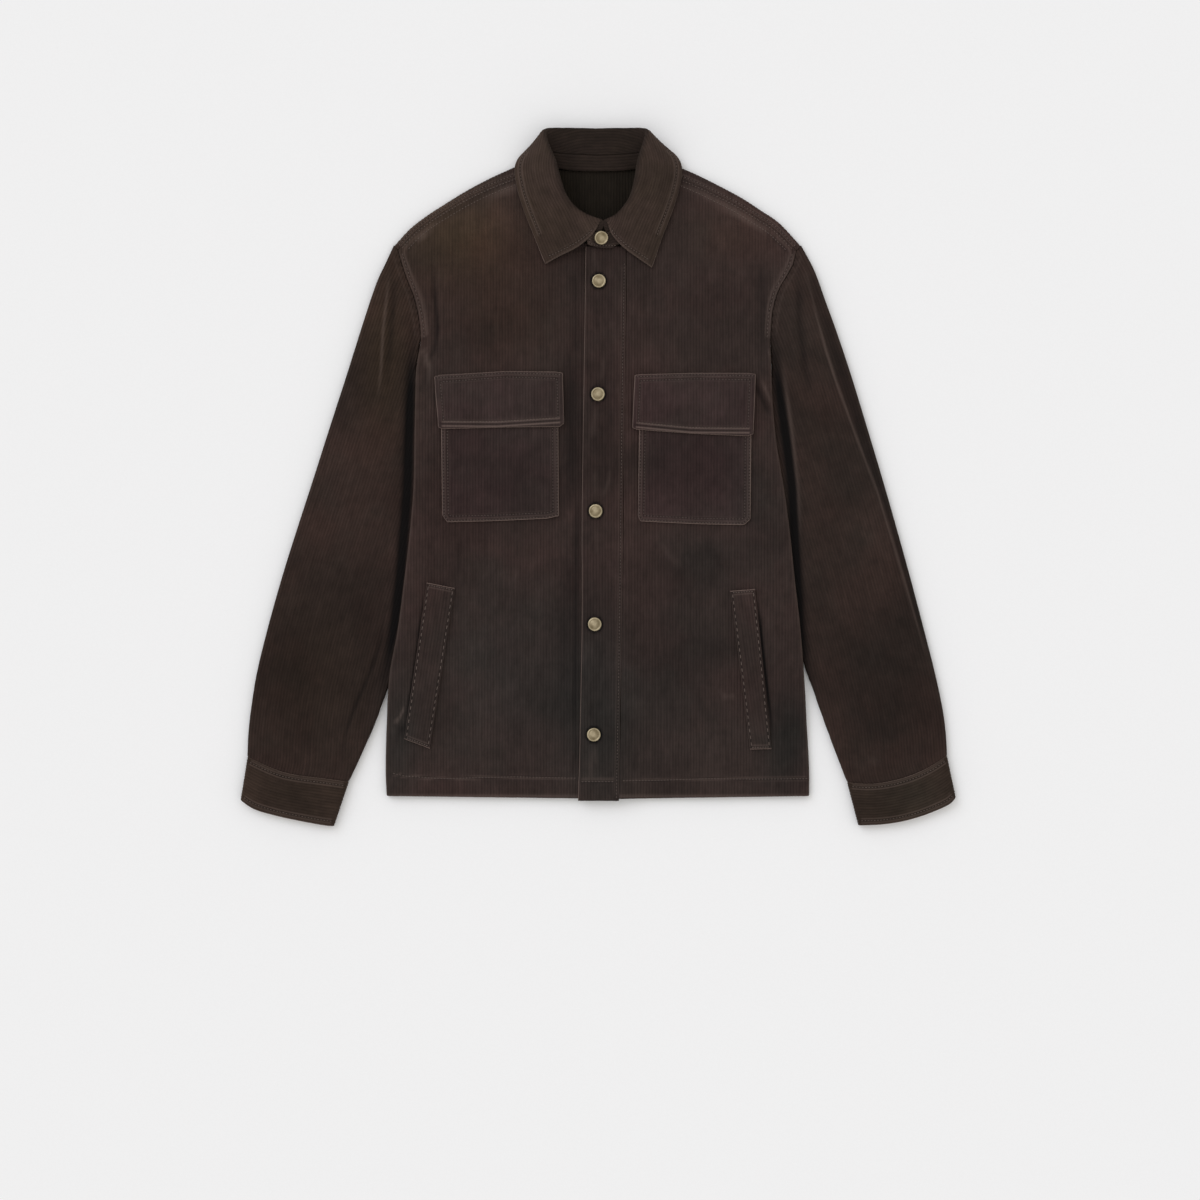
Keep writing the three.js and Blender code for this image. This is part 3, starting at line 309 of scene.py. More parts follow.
SLEEVE_FOLDS = [
    Fold([[-231, 225], [-235, 185], [-237, 140], [-243, 95]], 9, 1.3),
    Fold([[-214, 205], [-214, 165], [-222, 110]], 8, 1.4),
    Fold([[-248, 30], [-262, -60], [-285, -150], [-300, -230]], 26, 1.2),
    Fold([[-232, -125], [-243, -180], [-258, -225], [-272, -270], [-281, -322]], 10, 1.6),
    Fold([[-250, -108], [-236, -130]], 8, 1.3),
    Fold([[226, 226], [238, 172], [258, 106], [290, 12], [313, -50], [334, -130], [358, -200], [371, -240]],
         13, 1.5),
    Fold([[207, 205], [208, 165], [216, 115], [226, 75]], 8, 1.9),
    Fold([[232, -60], [247, -150], [262, -235]], 22, 1),
    Fold([[287, -328], [302, -318], [318, -310]], 7, 1.4),
    Fold([[-226, 232], [-230, 196], [-234, 158], [-236, 120], [-242, 62]], 2.2, 0.8, worn=0.13),
    Fold([[-221, 226], [-223, 190], [-226, 150], [-232, 96]], 3.6, -1.1, shade=0.4),
    Fold([[-229, -110], [-236, -178], [-248, -212], [-265, -250], [-275, -279], [-284, -334]], 2.4, -0.9,
         shade=0.5),
    Fold([[219, 242], [227, 218], [238, 172], [248, 136], [259, 102], [281, 42], [303, -15], [321, -73],
          [346, -158], [358, -198], [374, -252]], 1.7, 0.8, worn=0.2),
    Fold([[229, 238], [237, 205], [249, 165], [267, 108], [295, 22], [319, -46], [342, -122], [362, -190],
          [371, -226]], 7.5, -1.3, shade=0.5),
    Fold([[215, 232], [218, 202], [219, 163], [226, 112], [233, 78]], 4, -1.2, shade=0.4),
    Fold([[196, 152], [204, 92], [211, 40], [216, -6], [218, -50], [221, -110]], 3, 1.0, worn=0.23),
    Fold([[278, -317], [296, -310], [316, -300]], 3.6, 0.5, worn=0.04),
    Fold([[-262, -262], [-300, -282], [-338, -286]], 9, -0.7, shade=0.2),
    Fold([[268, -250], [300, -276], [338, -284]], 10, -0.7, shade=0.2),
    Fold([[-230, 40], [-252, 20], [-280, 18]], 10, 0.6),
    Fold([[-236, -6], [-262, -26], [-296, -22]], 12, -0.5),
    Fold([[234, 30], [256, 12], [280, 14]], 10, 0.5),
    Fold([[238, -70], [264, -88], [300, -84]], 12, -0.5),
]
# Where a sleeve sinks beside the body's edge: the deep slit between the two, also painted dark as shade
SIDE_SLITS = {
    Side.RIGHT: Fold([[-197, 176], [-203, 128], [-205, 85], [-206.5, 37], [-208, -12], [-211.5, -60],
                      [-216, -112], [-222.5, -165], [-231, -212], [-238, -246]], 5.2, -2.2, shade=0.95),
    Side.LEFT: Fold([[187, 182], [192, 132], [198, 85], [205, 37], [211, -12], [213.5, -60], [216, -112],
                     [219.5, -165], [225, -205], [236, -240]], 5.2, -2.2, shade=0.95),
}


def smooth(low: float, high: float, value: Array) -> Array:
    """A soft step from 0 at low to 1 at high."""
    t = np.clip((np.asarray(value, float) - low) / (high - low), 0, 1)
    return t * t * (3 - 2 * t)


def hermite(start: Array, end: Array, slope_start: Array, slope_end: Array, t: Array) -> Array:
    """A cubic between two values with their slopes, at shares t.

    Args:
        start: value at 0.
        end: value at 1.
        slope_start: slope at 0.
        slope_end: slope at 1.
        t: shares.

    Returns:
        Values at the shares.
    """
    a = 2 * start - 2 * end + slope_start + slope_end
    b = -3 * start + 3 * end - 2 * slope_start - slope_end
    return ((a * t + b) * t + slope_start) * t + start


def unit(vectors: Array) -> Array:
    """Vectors of length one."""
    return vectors / np.maximum(np.linalg.norm(vectors, axis=-1, keepdims=True), 1e-12)


def run_of(line: Array) -> Array:
    """The length of a line up to each of its points."""
    return np.concatenate([[0], np.cumsum(np.linalg.norm(np.diff(line, axis=0), axis=-1))])


def by_length(line: Array) -> Curve:
    """A dense line as a function of the share of its length.

    Args:
        line: points close together.

    Returns:
        Points for shares of the length.
    """
    way = run_of(line)

    def at(t: Array) -> Array:
        """Points at shares t."""
        where = np.asarray(t, float) * way[-1]
        return np.stack([np.interp(where, way, along) for along in line.T], -1)

    return at


def through(points: Path) -> Curve:
    """A smooth line through points, read by the share of its length.

    Args:
        points: what the line passes.

    Returns:
        Points for shares of the length.
    """
    p = np.asarray(points, float)
    padded = np.vstack([2 * p[0] - p[1], p, 2 * p[-1] - p[-2]])
    share = np.linspace(0, 1, CURVE_STEPS)[:, None]
    runs = []
    for k in range(len(p) - 1):
        a, b, c, d = padded[k:k + 4]
        first, middle, last = (max(np.linalg.norm(r - q) ** 0.5, 1e-4) for q, r in ((a, b), (b, c), (c, d)))
        start = ((b - a) / first - (c - a) / (first + middle) + (c - b) / middle) * middle
        end = ((c - b) / middle - (d - b) / (middle + last) + (d - c) / last) * middle
        runs.append(hermite(b, c, start, end, share)[(1 if k else 0):])
    return by_length(np.vstack(runs))


def straight(a: Array, b: Array) -> Curve:
    """The line from a to b."""
    return lambda t: a + (b - a) * np.asarray(t, float)[..., None]


def chain(first: Curve, second: Curve, share: float) -> Curve:
    """Two lines as one, the first up to a share of the way.

    Args:
        first: the line up to the share.
        second: the line after it.
        share: where they meet.

    Returns:
        Both as one line.
    """
    def at(t: Array) -> Array:
        """Points at shares t."""
        t = np.asarray(t, float)
        low = first(np.clip(t / share, 0, 1))
        high = second(np.clip((t - share) / (1 - share), 0, 1))
        return np.where((t < share)[..., None], low, high)

    return at


def bent(points: Path) -> Curve:
    """A bent line whose corners fall on even stops."""
    p = np.asarray(points, float)
    stops = np.arange(len(p))
    return lambda t: np.stack([np.interp(np.asarray(t) * stops[-1], stops, along) for along in p.T], -1)


def column(values: Sequence[float] | Array) -> Curve:
    """A table's column, or its rows, as a smooth function of the share of the way down it.

    Args:
        values: one for each row.

    Returns:
        Values for shares of the way.
    """
    v = np.asarray(values, float)
    padded = np.concatenate([v[:1], v, v[-1:]])

    def at(t: Array) -> Array:
        """Values at shares t."""
        place = np.clip(np.asarray(t, float), 0, 1) * (len(v) - 1)
        k = np.minimum(place.astype(int), len(v) - 2)
        before, start, end, after = (padded[k + step] for step in range(4))
        rest = (place - k).reshape(*place.shape, *[1] * (v.ndim - 1))
        return hermite(start, end, (end - before) / 2, (after - start) / 2, rest)

    return at


def resample(lines: Array, count: int) -> Array:
    """Lines through a few points each, lines x points x 3, read at an even count of stops."""
    return column(lines.swapaxes(0, 1))(np.linspace(0, 1, count)).swapaxes(0, 1)


def nearest(path: Path, x: Array, y: Array) -> tuple[Array, Array, Array]:
    """How far points are from a bent line.

    Args:
        path: the line.
        x: X of the points.
        y: their Y.

    Returns:
        The distance, the share of the way along by corners, and the length along the line.
    """
    spots = np.stack([x, y], -1)
    p = np.asarray(path, float)
    best = np.full(np.shape(x), np.inf)
    share = np.zeros(np.shape(x))
    way = np.zeros(np.shape(x))
    run = 0.0
    for k in range(len(p) - 1):
        step = p[k + 1] - p[k]
        size = float(step @ step)
        t = np.clip((spots - p[k]) @ step / size, 0, 1)
        distance = np.linalg.norm(spots - p[k] - step * t[..., None], axis=-1)
        closer = distance < best
        best = np.where(closer, distance, best)
        share = np.where(closer, (k + t) / (len(p) - 1), share)
        way = np.where(closer, run + t * size ** 0.5, way)
        run += size ** 0.5
    return best, share, way


# Painted light and shade, drawn lighter where the nap stands towards the light and darker where it stands
# away from it: x, y, half widths along both, and how much
LIGHT_AND_SHADE_PATCHES = [
    (-160, 288, 62, 38, 0.4), (-205, 252, 26, 30, 0.18), (160, 292, 66, 30, 0.2), (205, 240, 22, 34, 0.14),
    (-110, 180, 55, 45, -0.1), (-300, -40, 30, 120, 0.08), (-378, -335, 24, 26, 0.5),
    (-330, -352, 34, 16, -0.14), (-330, -230, 60, 90, -0.34), (-250, -160, 26, 90, -0.24),
    (310, -215, 66, 92, -0.46), (356, -345, 30, 22, 0.1), (95, -200, 90, 110, -0.2), (-20, 225, 22, 26, -0.2),
    (5, 30, 18, 170, -0.32), (0, -250, 22, 84, -0.22), (250, 170, 26, 70, 0.06), (208, -290, 24, 60, -0.46),
    (174, -25, 24, 62, -0.3), (300, -60, 16, 110, 0.06), (-106, 12, 60, 44, -0.26), (105, 8, 60, 46, -0.28),
    (120, -96, 60, 30, -0.2), (-180, -35, 20, 70, -0.12), (-106, 84, 50, 24, 0.08), (104, 82, 50, 24, 0.12),
    (-72, 290, 16, 50, -0.12),
]
# Where the dye has gone greyer, below zero, or browner: x, y, half widths along both, and how much
DYE_PATCHES = [
    (-92, -225, 78, 95, -0.4), (-4, -245, 44, 110, -0.42), (95, -215, 70, 95, -0.18),
    (208, -285, 28, 62, -0.44), (-216, -285, 22, 60, -0.34), (110, -88, 60, 30, -0.16),
    (172, -25, 26, 62, -0.16), (216, 150, 26, 62, -0.2), (-150, 262, 74, 52, 0.48), (-100, 175, 60, 50, 0.18),
    (140, 266, 52, 30, 0.12), (-232, 130, 30, 84, 0.36), (-310, -215, 62, 84, 0.16), (270, -30, 46, 90, -0.1),
    (300, -200, 60, 80, -0.14), (345, -345, 40, 24, -0.2),
]


def patch_tone(patches: Sequence[tuple[float, ...]], x: Array, y: Array) -> Array:
    """All the soft patches of one kind together, from 0 to 1 with 0.5 as their rest.

    Args:
        patches: a table of patches.
        x: X of the points.
        y: their Y.

    Returns:
        The tone at each point.
    """
    total = np.full(np.shape(x), 0.5)
    for across, up, wide, tall, much in patches:
        total += much * np.exp(-((x - across) / wide) ** 2 - ((y - up) / tall) ** 2)
    return np.clip(total, 0, 1)


def fold_height(folds: Iterable[Fold], x: Array, y: Array) -> Array:
    """Height of all the folds together."""
    return sum((fold.rise * fold.profile(x, y) for fold in folds), np.zeros(np.shape(x)))


def fold_marks(folds: Iterable[Fold], x: Array, y: Array) -> tuple[Array, Array]:
    """How light and how dark the folds draw the cloth: rubbed nap and painted highlight on ridges, painted
    shade in troughs.

    Args:
        folds: the folds.
        x: X of the points.
        y: their Y.

    Returns:
        Both marks at each point, from 0 to 1.
    """
    worn, shade = np.zeros(np.shape(x)), np.zeros(np.shape(x))
    for fold in folds:
        if fold.worn or fold.shade:
            share = fold.profile(x, y)
            worn = np.maximum(worn, fold.worn * share ** 1.5)
            shade = np.maximum(shade, fold.shade * share)
    return worn, shade


def ripple(x: Array, y: Array, seed: int, height: float) -> Array:
    """Wide, faint unevenness of laid cloth.

    Args:
        x: X of the points.
        y: their Y.
        seed: start of the random draws.
        height: half height of the waves.

    Returns:
        Heights.
    """
    rng = np.random.default_rng(seed)
    total = np.zeros(np.shape(x))
    for _ in range(9):
        angle, length, phase = rng.uniform(-0.5, 0.5), rng.uniform(26, 95), rng.uniform(0, 2 * math.pi)
        total += np.sin(2 * math.pi * (x * math.cos(angle) + y * math.sin(angle) * 0.6) / length + phase)
    return total * height / 9 ** 0.5


def inward_of(x: Array, y: Array) -> Array:
    """Distance in from the body's side edge."""
    right = -np.interp(y, SIDE_EDGE[:, 0], SIDE_EDGE[:, 1])
    left = np.interp(y, SIDE_EDGE[:, 0], SIDE_EDGE[:, 2])
    return np.where(x < 0, right, left) - np.abs(x)


def lift(x: Array, y: Array) -> Array:
    """Height of the body's underside, raised where it lies on the sleeves."""
    spans = [smooth(start, whole, y) * (1 - smooth(full, end, y)) for start, whole, full, end in
             (TUCK[Side.RIGHT], TUCK[Side.LEFT])]
    along = np.where(x < 0, spans[0], spans[1])
    return TUCK_LIFT * along * (1 - smooth(TUCK_FLAT, TUCK_REACH, inward_of(x, y)))


def front_under(x: Array, y: Array) -> Array:
    """Underside of the fronts where nothing else lies under them."""
    inward = smooth(-2, 12, inward_of(x, y))
    folds = fold_height(FRONT_FOLDS, x, y) + ripple(x, y, 5, 0.22) * smooth(0, 25, np.abs(x))
    return lift(x, y) + BODY_CLOTH + BODY_AIR + np.maximum(folds, -BODY_AIR + 0.2) * inward


def right_top(x: Array, y: Array) -> Array:
    """Upper side of the right front, with its turned hem."""
    return front_under(x, y) + BODY_CLOTH + hem_step(y)


def hem_step(y: Array) -> Array:
    """What the turned hem adds."""
    return HEM_RISE * (1 - smooth(HEM_Y + HEM_BAND, HEM_Y + HEM_BAND + 3, y))


def placket_seam(y: Array) -> Array:
    """X of the placket's seam."""
    return np.interp(y, PLACKET[:, 0], PLACKET[:, 2])


def left_under(x: Array, y: Array) -> Array:
    """Underside of the left front, raised to meet the placket."""
    step = PLACKET_CLOTH + LAY_GAP
    return front_under(x, y) + step * (1 - smooth(0, PLACKET_SLOPE, x - placket_seam(y)))


def left_top(x: Array, y: Array) -> Array:
    """Upper side of the left front, with its turned hem."""
    return left_under(x, y) + BODY_CLOTH + hem_step(y)


def placket_under(x: Array, y: Array) -> Array:
    """Underside of the placket."""
    return right_top(x, y) + LAY_GAP


FRONT_TOP = {Side.RIGHT: right_top, Side.LEFT: left_top}


def plan_grid(bottom: Curve, top: Curve, left: Curve, right: Curve, u: Array, v: Array) -> Array:
    """A grid of plan points between four edges, rows by columns by 2.

    Args:
        bottom: the lower edge, left to right.
        top: the upper one.
        left: the left edge, going up.
        right: the right one.
        u: stops across.
        v: stops up.

    Returns:
        The grid.
    """
    low, high = bottom(u)[None], top(u)[None]
    near, far = left(v)[:, None], right(v)[:, None]
    across, up = u[None, :, None], v[:, None, None]
    corners = ((1 - across) * (1 - up) * bottom(np.zeros(1))[0] + across * (1 - up) * bottom(np.ones(1))[0]
               + (1 - across) * up * top(np.zeros(1))[0] + across * up * top(np.ones(1))[0])
    return low * (1 - up) + high * up + near * (1 - across) + far * across - corners


def raised(plan: Array, height: Array) -> Array:
    """Plan points set at heights."""
    return np.concatenate([plan, height[..., None]], -1)


def edged(count: int, length: float, low: bool = True, high: bool = True) -> Array:
    """Even stops from 0 to 1 with close ones at the ends, 4n + 1 in all.

    Args:
        count: about how many stops are wanted.
        length: what the whole way measures.
        low: whether the start has close stops.
        high: whether the end has close stops.

    Returns:
        The stops.
    """
    close = np.array(CLOSE_STOPS) / length
    start, end = close[-1] * low, 1 - close[-1] * high
    fine = (len(close) - 1) * (low + high)
    inside = max(1, round((count - 1 - fine) / INNER_STEP)) * INNER_STEP
    middle = np.linspace(start, end, inside + 1)
    return np.concatenate([close[:-1] if low else [], middle, (1 - close[:-1][::-1]) if high else []])


def border_distance(grid: Array, sides: str) -> Array:
    """Distance along the cloth to the nearest of the named sides.

    Args:
        grid: rows x columns x 3.
        sides: any of the letters b, t, l and r, for bottom, top, left and right.

    Returns:
        The distance at each point.
    """
    up = np.cumsum(np.linalg.norm(np.diff(grid, axis=0, prepend=grid[:1]), axis=-1), axis=0)
    across = np.cumsum(np.linalg.norm(np.diff(grid, axis=1, prepend=grid[:, :1]), axis=-1), axis=1)
    found = {"b": up, "t": up[-1:] - up, "l": across, "r": across[:, -1:] - across}
    return np.minimum.reduce([found[side] for side in sides])


def wales(across: Array) -> Array:
    """Height of the corduroy's ribs across them."""
    return WALE_RELIEF * (np.abs(np.cos(np.pi * across / WALE_PITCH)) ** 0.7 - WALE_MEAN)


def inset(outline: Path, distance: float) -> Array:
    """An outline, anticlockwise, moved inward all round.

    Args:
        outline: its corners.
        distance: how far in.

    Returns:
        The corners moved.
    """
    p = np.asarray(outline, float)
    ahead = unit(np.roll(p, -1, axis=0) - p)
    normal = np.stack([-ahead[:, 1], ahead[:, 0]], -1)
    both = normal + np.roll(normal, 1, axis=0)
    return p + both * (2 * distance / (both ** 2).sum(1, keepdims=True))


def index_grid(rows: int, columns: int, start: int = 0, ring: bool = False) -> Array:
    """Indices of a grid of points, with the first column again at a ring's end."""
    grid = start + np.arange(rows * columns).reshape(rows, columns)
    return np.hstack([grid, grid[:, :1]]) if ring else grid


def quads(grid: Array) -> Array:
    """The four corners of each cell in a grid of indices."""
    return np.stack([grid[:-1, :-1], grid[:-1, 1:], grid[1:, 1:], grid[1:, :-1]], -1).reshape(-1, 4)


def add_mesh(name: str, points: Array, faces: Iterable[tuple[int, ...]]) -> Object:
    """Adds a smooth-shaded mesh object.

    Args:
        name: the object's name.
        points: its points in metres.
        faces: the points of each face.

    Returns:
        The object.
    """
    mesh = bpy.data.meshes.new(name)
    mesh.from_pydata(points.reshape(-1, 3).tolist(), [], [tuple(face) for face in faces])
    mesh.polygons.foreach_set("use_smooth", np.ones(len(mesh.polygons), bool))
    mesh.update()
    made = bpy.data.objects.new(name, mesh)
    bpy.context.scene.collection.objects.link(made)
    return made


def store(mesh: Mesh, name: str, values: Array) -> None:
    """Stores one value a point."""
    marks = np.clip(values, 0, 1).astype(np.float32).ravel()
    mesh.attributes.new(name, "FLOAT", "POINT").data.foreach_set("value", marks)


@dataclass(frozen=True)
class Seam:
    """A line of sewing on a piece, seen from above.

    Attributes:
        path: bent line in plan.
        pitch: from one stitch to the next.
        length: of the thread that shows.
        depth: of the groove that the thread draws.
        width: half width of the groove.
        pucker: height of the small gathers beside it.
        puff: rise of the cloth along both sides.
        rubbed: how light those rises are drawn, as rubbed nap and painted highlight.
        dark: how dark the groove is painted, as shade.
        thread: half the thickness of the thread.
    """

    path: Path
    pitch: float = 3.5
    length: float = 2.4
    depth: float = 0.42
    width: float = 1.1
    pucker: float = 0.07
    puff: float = 0.18
    rubbed: float = 0.14
    dark: float = 0.32
    thread: float = 0.34

    def relief(self, x: Array, y: Array) -> tuple[Array, Array, Array]:
        """The groove's and gathers' height, the groove's share and that of the rubbed crests.

        Args:
            x: X of the points.
            y: their Y.

        Returns:
            All three at each point.
        """
        distance, share, way = nearest(self.path, x, y)
        between = smooth(0, 0.012, share) * smooth(0, 0.012, 1 - share)
        groove = np.exp(-((distance / self.width) ** 2))
        beside = np.exp(-(((distance - 2.4 * self.width) / (1.3 * self.width)) ** 2))
        gather = np.sin(2 * np.pi * way / (2.0 * self.pitch)) * np.exp(-((distance / 4.5) ** 2))
        crest = between * np.exp(-(((distance - 1.9 * self.width) / (0.75 * self.width)) ** 2))
        rub = np.maximum(crest, 1.6 * self.pucker * gather)
        return self.puff * beside + self.pucker * gather - self.depth * groove, groove, rub


@dataclass
class Shell:
    """One sewn piece as a closed shell between two grids.

    Attributes:
        outer: rows x columns x 3, the side that shows.
        inner: the same for the side behind it.
        grain: rows x columns x 2, across the wales and along them.
        ring: whether the columns close into a tube.
        step: how many columns and rows of the outer grid the inner one skips.
        highlight_and_wear_sides: sides whose rims are drawn light, as rubbed nap and painted highlight.
        round_sides: sides whose edges are rounded.
        worn: how light each outer point is drawn, as rubbed nap and painted highlight.
        shade: how dark each outer point is painted, as shade in grooves, creases, slits, round the snaps and
            inside the neck.
        nap: painted light and shade, how far the nap stands towards the light.
        dye: where the dye is greyer or browner.
    """

    outer: Array
    inner: Array
    grain: Array
    ring: bool = False
    step: int = INNER_STEP
    highlight_and_wear_sides: str = ""
    round_sides: str = "btlr"
    worn: Array | None = None
    shade: Array | None = None
    nap: Array = field(init=False)
    dye: Array = field(init=False)

    def __post_init__(self) -> None:
        """Empty marks where none were given, and the cloth's soft patches of painted light and shade and of
        dye.
        """
        x, y = self.outer[..., 0], self.outer[..., 1]
        self.nap = patch_tone(LIGHT_AND_SHADE_PATCHES, x, y)
        self.dye = patch_tone(DYE_PATCHES, x, y)
        self.worn = np.zeros(self.outer.shape[:2]) if self.worn is None else self.worn
        self.shade = np.zeros(self.outer.shape[:2]) if self.shade is None else self.shade

    def round_edges(self) -> None:
        """Brings the two sides together in a half round at the open edges."""
        sides = self.round_sides
        if sides:
            distance = border_distance(self.outer, sides)
            share = np.sqrt(1 - (1 - np.clip(distance / EDGE_ROUND, 0, 1)) ** 2)
            share = (EDGE_FLAT + (1 - EDGE_FLAT) * share)[..., None]
            middle = (self.outer + self.inner) / 2
            self.outer = middle + (self.outer - middle) * share
            self.inner = middle + (self.inner - middle) * share
        # Lighter rims, as rubbed nap and painted highlight.
        if self.highlight_and_wear_sides:
            rim = np.exp(-(border_distance(self.outer, self.highlight_and_wear_sides) / RIM_WIDTH) ** 2)
            self.worn = np.maximum(self.worn, RIM_WEAR_AND_HIGHLIGHT * rim)

    def normals(self) -> Array:
        """Directions out of the outer grid.

        Returns:
            A direction of length one for each point.
        """
        grid = self.outer
        if self.ring:
            around = np.roll(grid, -1, axis=1) - np.roll(grid, 1, axis=1)
        else:
            around = np.gradient(grid, axis=1)
        cross = unit(np.cross(around, np.gradient(grid, axis=0)))
        away = self.outer - self.inner
        return cross * (1.0 if (cross * away).sum() > 0 else -1.0)

    def emboss(self, height: Array) -> None:
        """Moves the outer side along its directions."""
        self.outer = self.outer + self.normals() * height[..., None]

    def faces(self) -> tuple[Array, list[Sequence[int]]]:
        """All points as one list, and the faces between them.

        Returns:
            The points and the corners of each face.
        """
        inner = self.inner[::self.step, ::self.step]
        points = np.concatenate([self.outer.reshape(-1, 3), inner.reshape(-1, 3)])
        fine = index_grid(*self.outer.shape[:2], ring=self.ring)
        coarse = index_grid(*inner.shape[:2], start=self.outer[..., 0].size, ring=self.ring)
        faces = [*quads(fine).tolist(), *quads(coarse)[:, ::-1].tolist()]
        for side in "bt" if self.ring else "brtl":
            faces += self._rim(self._edge(fine, side), self._edge(coarse, side))
        return points, faces

    @staticmethod
    def _edge(grid: Array, side: str) -> list[int]:
        """One side of a grid of indices, in turning order."""
        return {"b": grid[0], "t": grid[-1, ::-1], "r": grid[:, -1], "l": grid[::-1, 0]}[side].tolist()

    def _rim(self, outside: list[int], inside: list[int]) -> list[tuple[int, int, int]]:
        """Triangles between a fine run and a coarse one.

        Args:
            outside: points of the fine run.
            inside: points of the coarse one.

        Returns:
            The triangles.
        """
        step, half = self.step, (self.step + 1) // 2
        made = []
        for k in range(len(inside) - 1):
            run = outside[k * step:(k + 1) * step + 1]
            for j in range(step):
                made.append((run[j + 1], run[j], inside[k] if j < half else inside[k + 1]))
            made.append((inside[k], inside[k + 1], run[half]))
        return made

    def build(self, name: str) -> Object:
        """The shell as a mesh object in the row frame, with its marks and its grain.

        Args:
            name: the object's name.

        Returns:
            The object.
        """
        points, faces = self.faces()
        step = self.step
        made = add_mesh(name, (points + ORIGIN_SHIFT) * MM, faces)
        mesh = made.data
        if self._volume(points, faces) < 0:
            mesh.flip_normals()
        for mark in ("worn", "shade", "nap", "dye"):
            values = getattr(self, mark)
            store(mesh, mark, np.concatenate([values.ravel(), values[::step, ::step].ravel()]))
        grain = np.concatenate([self.grain.reshape(-1, 2), self.grain[::step, ::step].reshape(-1, 2)])
        corner = np.zeros(len(mesh.loops), np.int32)
        mesh.loops.foreach_get("vertex_index", corner)
        layer = mesh.uv_layers.new(name="Grain")
        layer.data.foreach_set("uv", (grain[corner] * MM).astype(np.float32).ravel())
        return made

    @staticmethod
    def _volume(points: Array, faces: list[Sequence[int]]) -> float:
        """Six times the volume that the faces enclose, below zero if they face in."""
        triangles = np.array([[*f[:3]] for f in faces] + [[f[0], f[2], f[3]] for f in faces if len(f) == 4])
        a, b, c = (points[triangles[:, k]] for k in range(3))
        return float((a * np.cross(b, c)).sum())


class Graph:
    """A material and the nodes that make it."""

    def __init__(self, name: str) -> None:
        """Starts an empty material."""
        self.material = bpy.data.materials.new(name)
        self.material.use_nodes = True
        self.tree = self.material.node_tree
        self.tree.nodes.clear()

    def add(self, kind: str, inputs: dict | None = None, out: int | str = 0, **settings: str) -> Socket:
        """Adds a node, sets or links its inputs and returns one output.

        Args:
            kind: the node's type.
            inputs: values or sockets by input name or number.
            out: the output wanted.
            **settings: the node's own options.

        Returns:
            The output socket.
        """
        node = self.tree.nodes.new(kind)
        for key, value in settings.items():
            setattr(node, key, value)
        for key, value in (inputs or {}).items():
            if isinstance(value, Socket):
                self.tree.links.new(value, node.inputs[key])
            else:
                node.inputs[key].default_value = value
        return node.outputs[out]

    def math(self, operation: str, a: Value, b: Value = 0.0, c: Value = 0.0) -> Socket:
        """One step of arithmetic."""
        return self.add("ShaderNodeMath", {0: a, 1: b, 2: c}, operation=operation)

    def blend(self, share: Value, a: Socket | tuple, b: Socket | tuple) -> Socket:
        """Two colours mixed by a share."""
        return self.add("ShaderNodeMix", {0: share, 6: a, 7: b}, out=2, data_type="RGBA")

    def spread(self, value: Socket, low: float, high: float, to_low: float, to_high: float) -> Socket:
        """A value stretched from one range to another."""
        return self.add("ShaderNodeMapRange", {0: value, 1: low, 2: high, 3: to_low, 4: to_high})

    def noise(self, place: Socket, scale: float, detail: float = 2.0, roughness: float = 0.5) -> Socket:
        """Cloudy unevenness at a place."""
        return self.add("ShaderNodeTexNoise",
                        {"Vector": place, "Scale": scale, "Detail": detail, "Roughness": roughness})

    def body(self) -> Socket:
        """The place on the object."""
        return self.add("ShaderNodeTexCoord", out="Object")

    def mark(self, name: str) -> Socket:
        """A value stored at the mesh's points."""
        return self.add("ShaderNodeAttribute", attribute_name=name, out="Fac")

    def vector(self, x: Value, y: Value, z: Value = 0.0) -> Socket:
        """A vector from its parts."""
        return self.add("ShaderNodeCombineXYZ", {0: x, 1: y, 2: z})

    def times(self, colour: Socket, factor: Socket) -> Socket:
        """A colour multiplied by another."""
        return self.add("ShaderNodeVectorMath", {0: colour, 1: factor}, operation="MULTIPLY")

    def close(self, colour: Socket, relief: Socket, strength: float,
              **sockets: Value | tuple) -> Material:
        """Ends the material with its surface.

        Args:
            colour: the base colour.
            relief: fine height in metres.
            strength: how strongly the relief shows.
            **sockets: the surface's other inputs, with low lines for the spaces in their names.

        Returns:
            The material.
        """
        normal = self.add("ShaderNodeBump", {"Height": relief, "Strength": strength, "Distance": 1.0})
        inputs = {name.replace("_", " "): value for name, value in sockets.items()}
        surface = self.add("ShaderNodeBsdfPrincipled", {"Base Color": colour, "Normal": normal, **inputs})
        end = self.tree.nodes.new("ShaderNodeOutputMaterial")
        self.tree.links.new(surface, end.inputs[0])
        return self.material


def tint(red: int, green: int, blue: int) -> tuple[float, float, float, float]:
    """A screen colour as light."""
    light = [(c / 255 / 12.92) if c <= 10 else ((c / 255 + 0.055) / 1.055) ** 2.4 for c in (red, green, blue)]
    return (*light, 1.0)


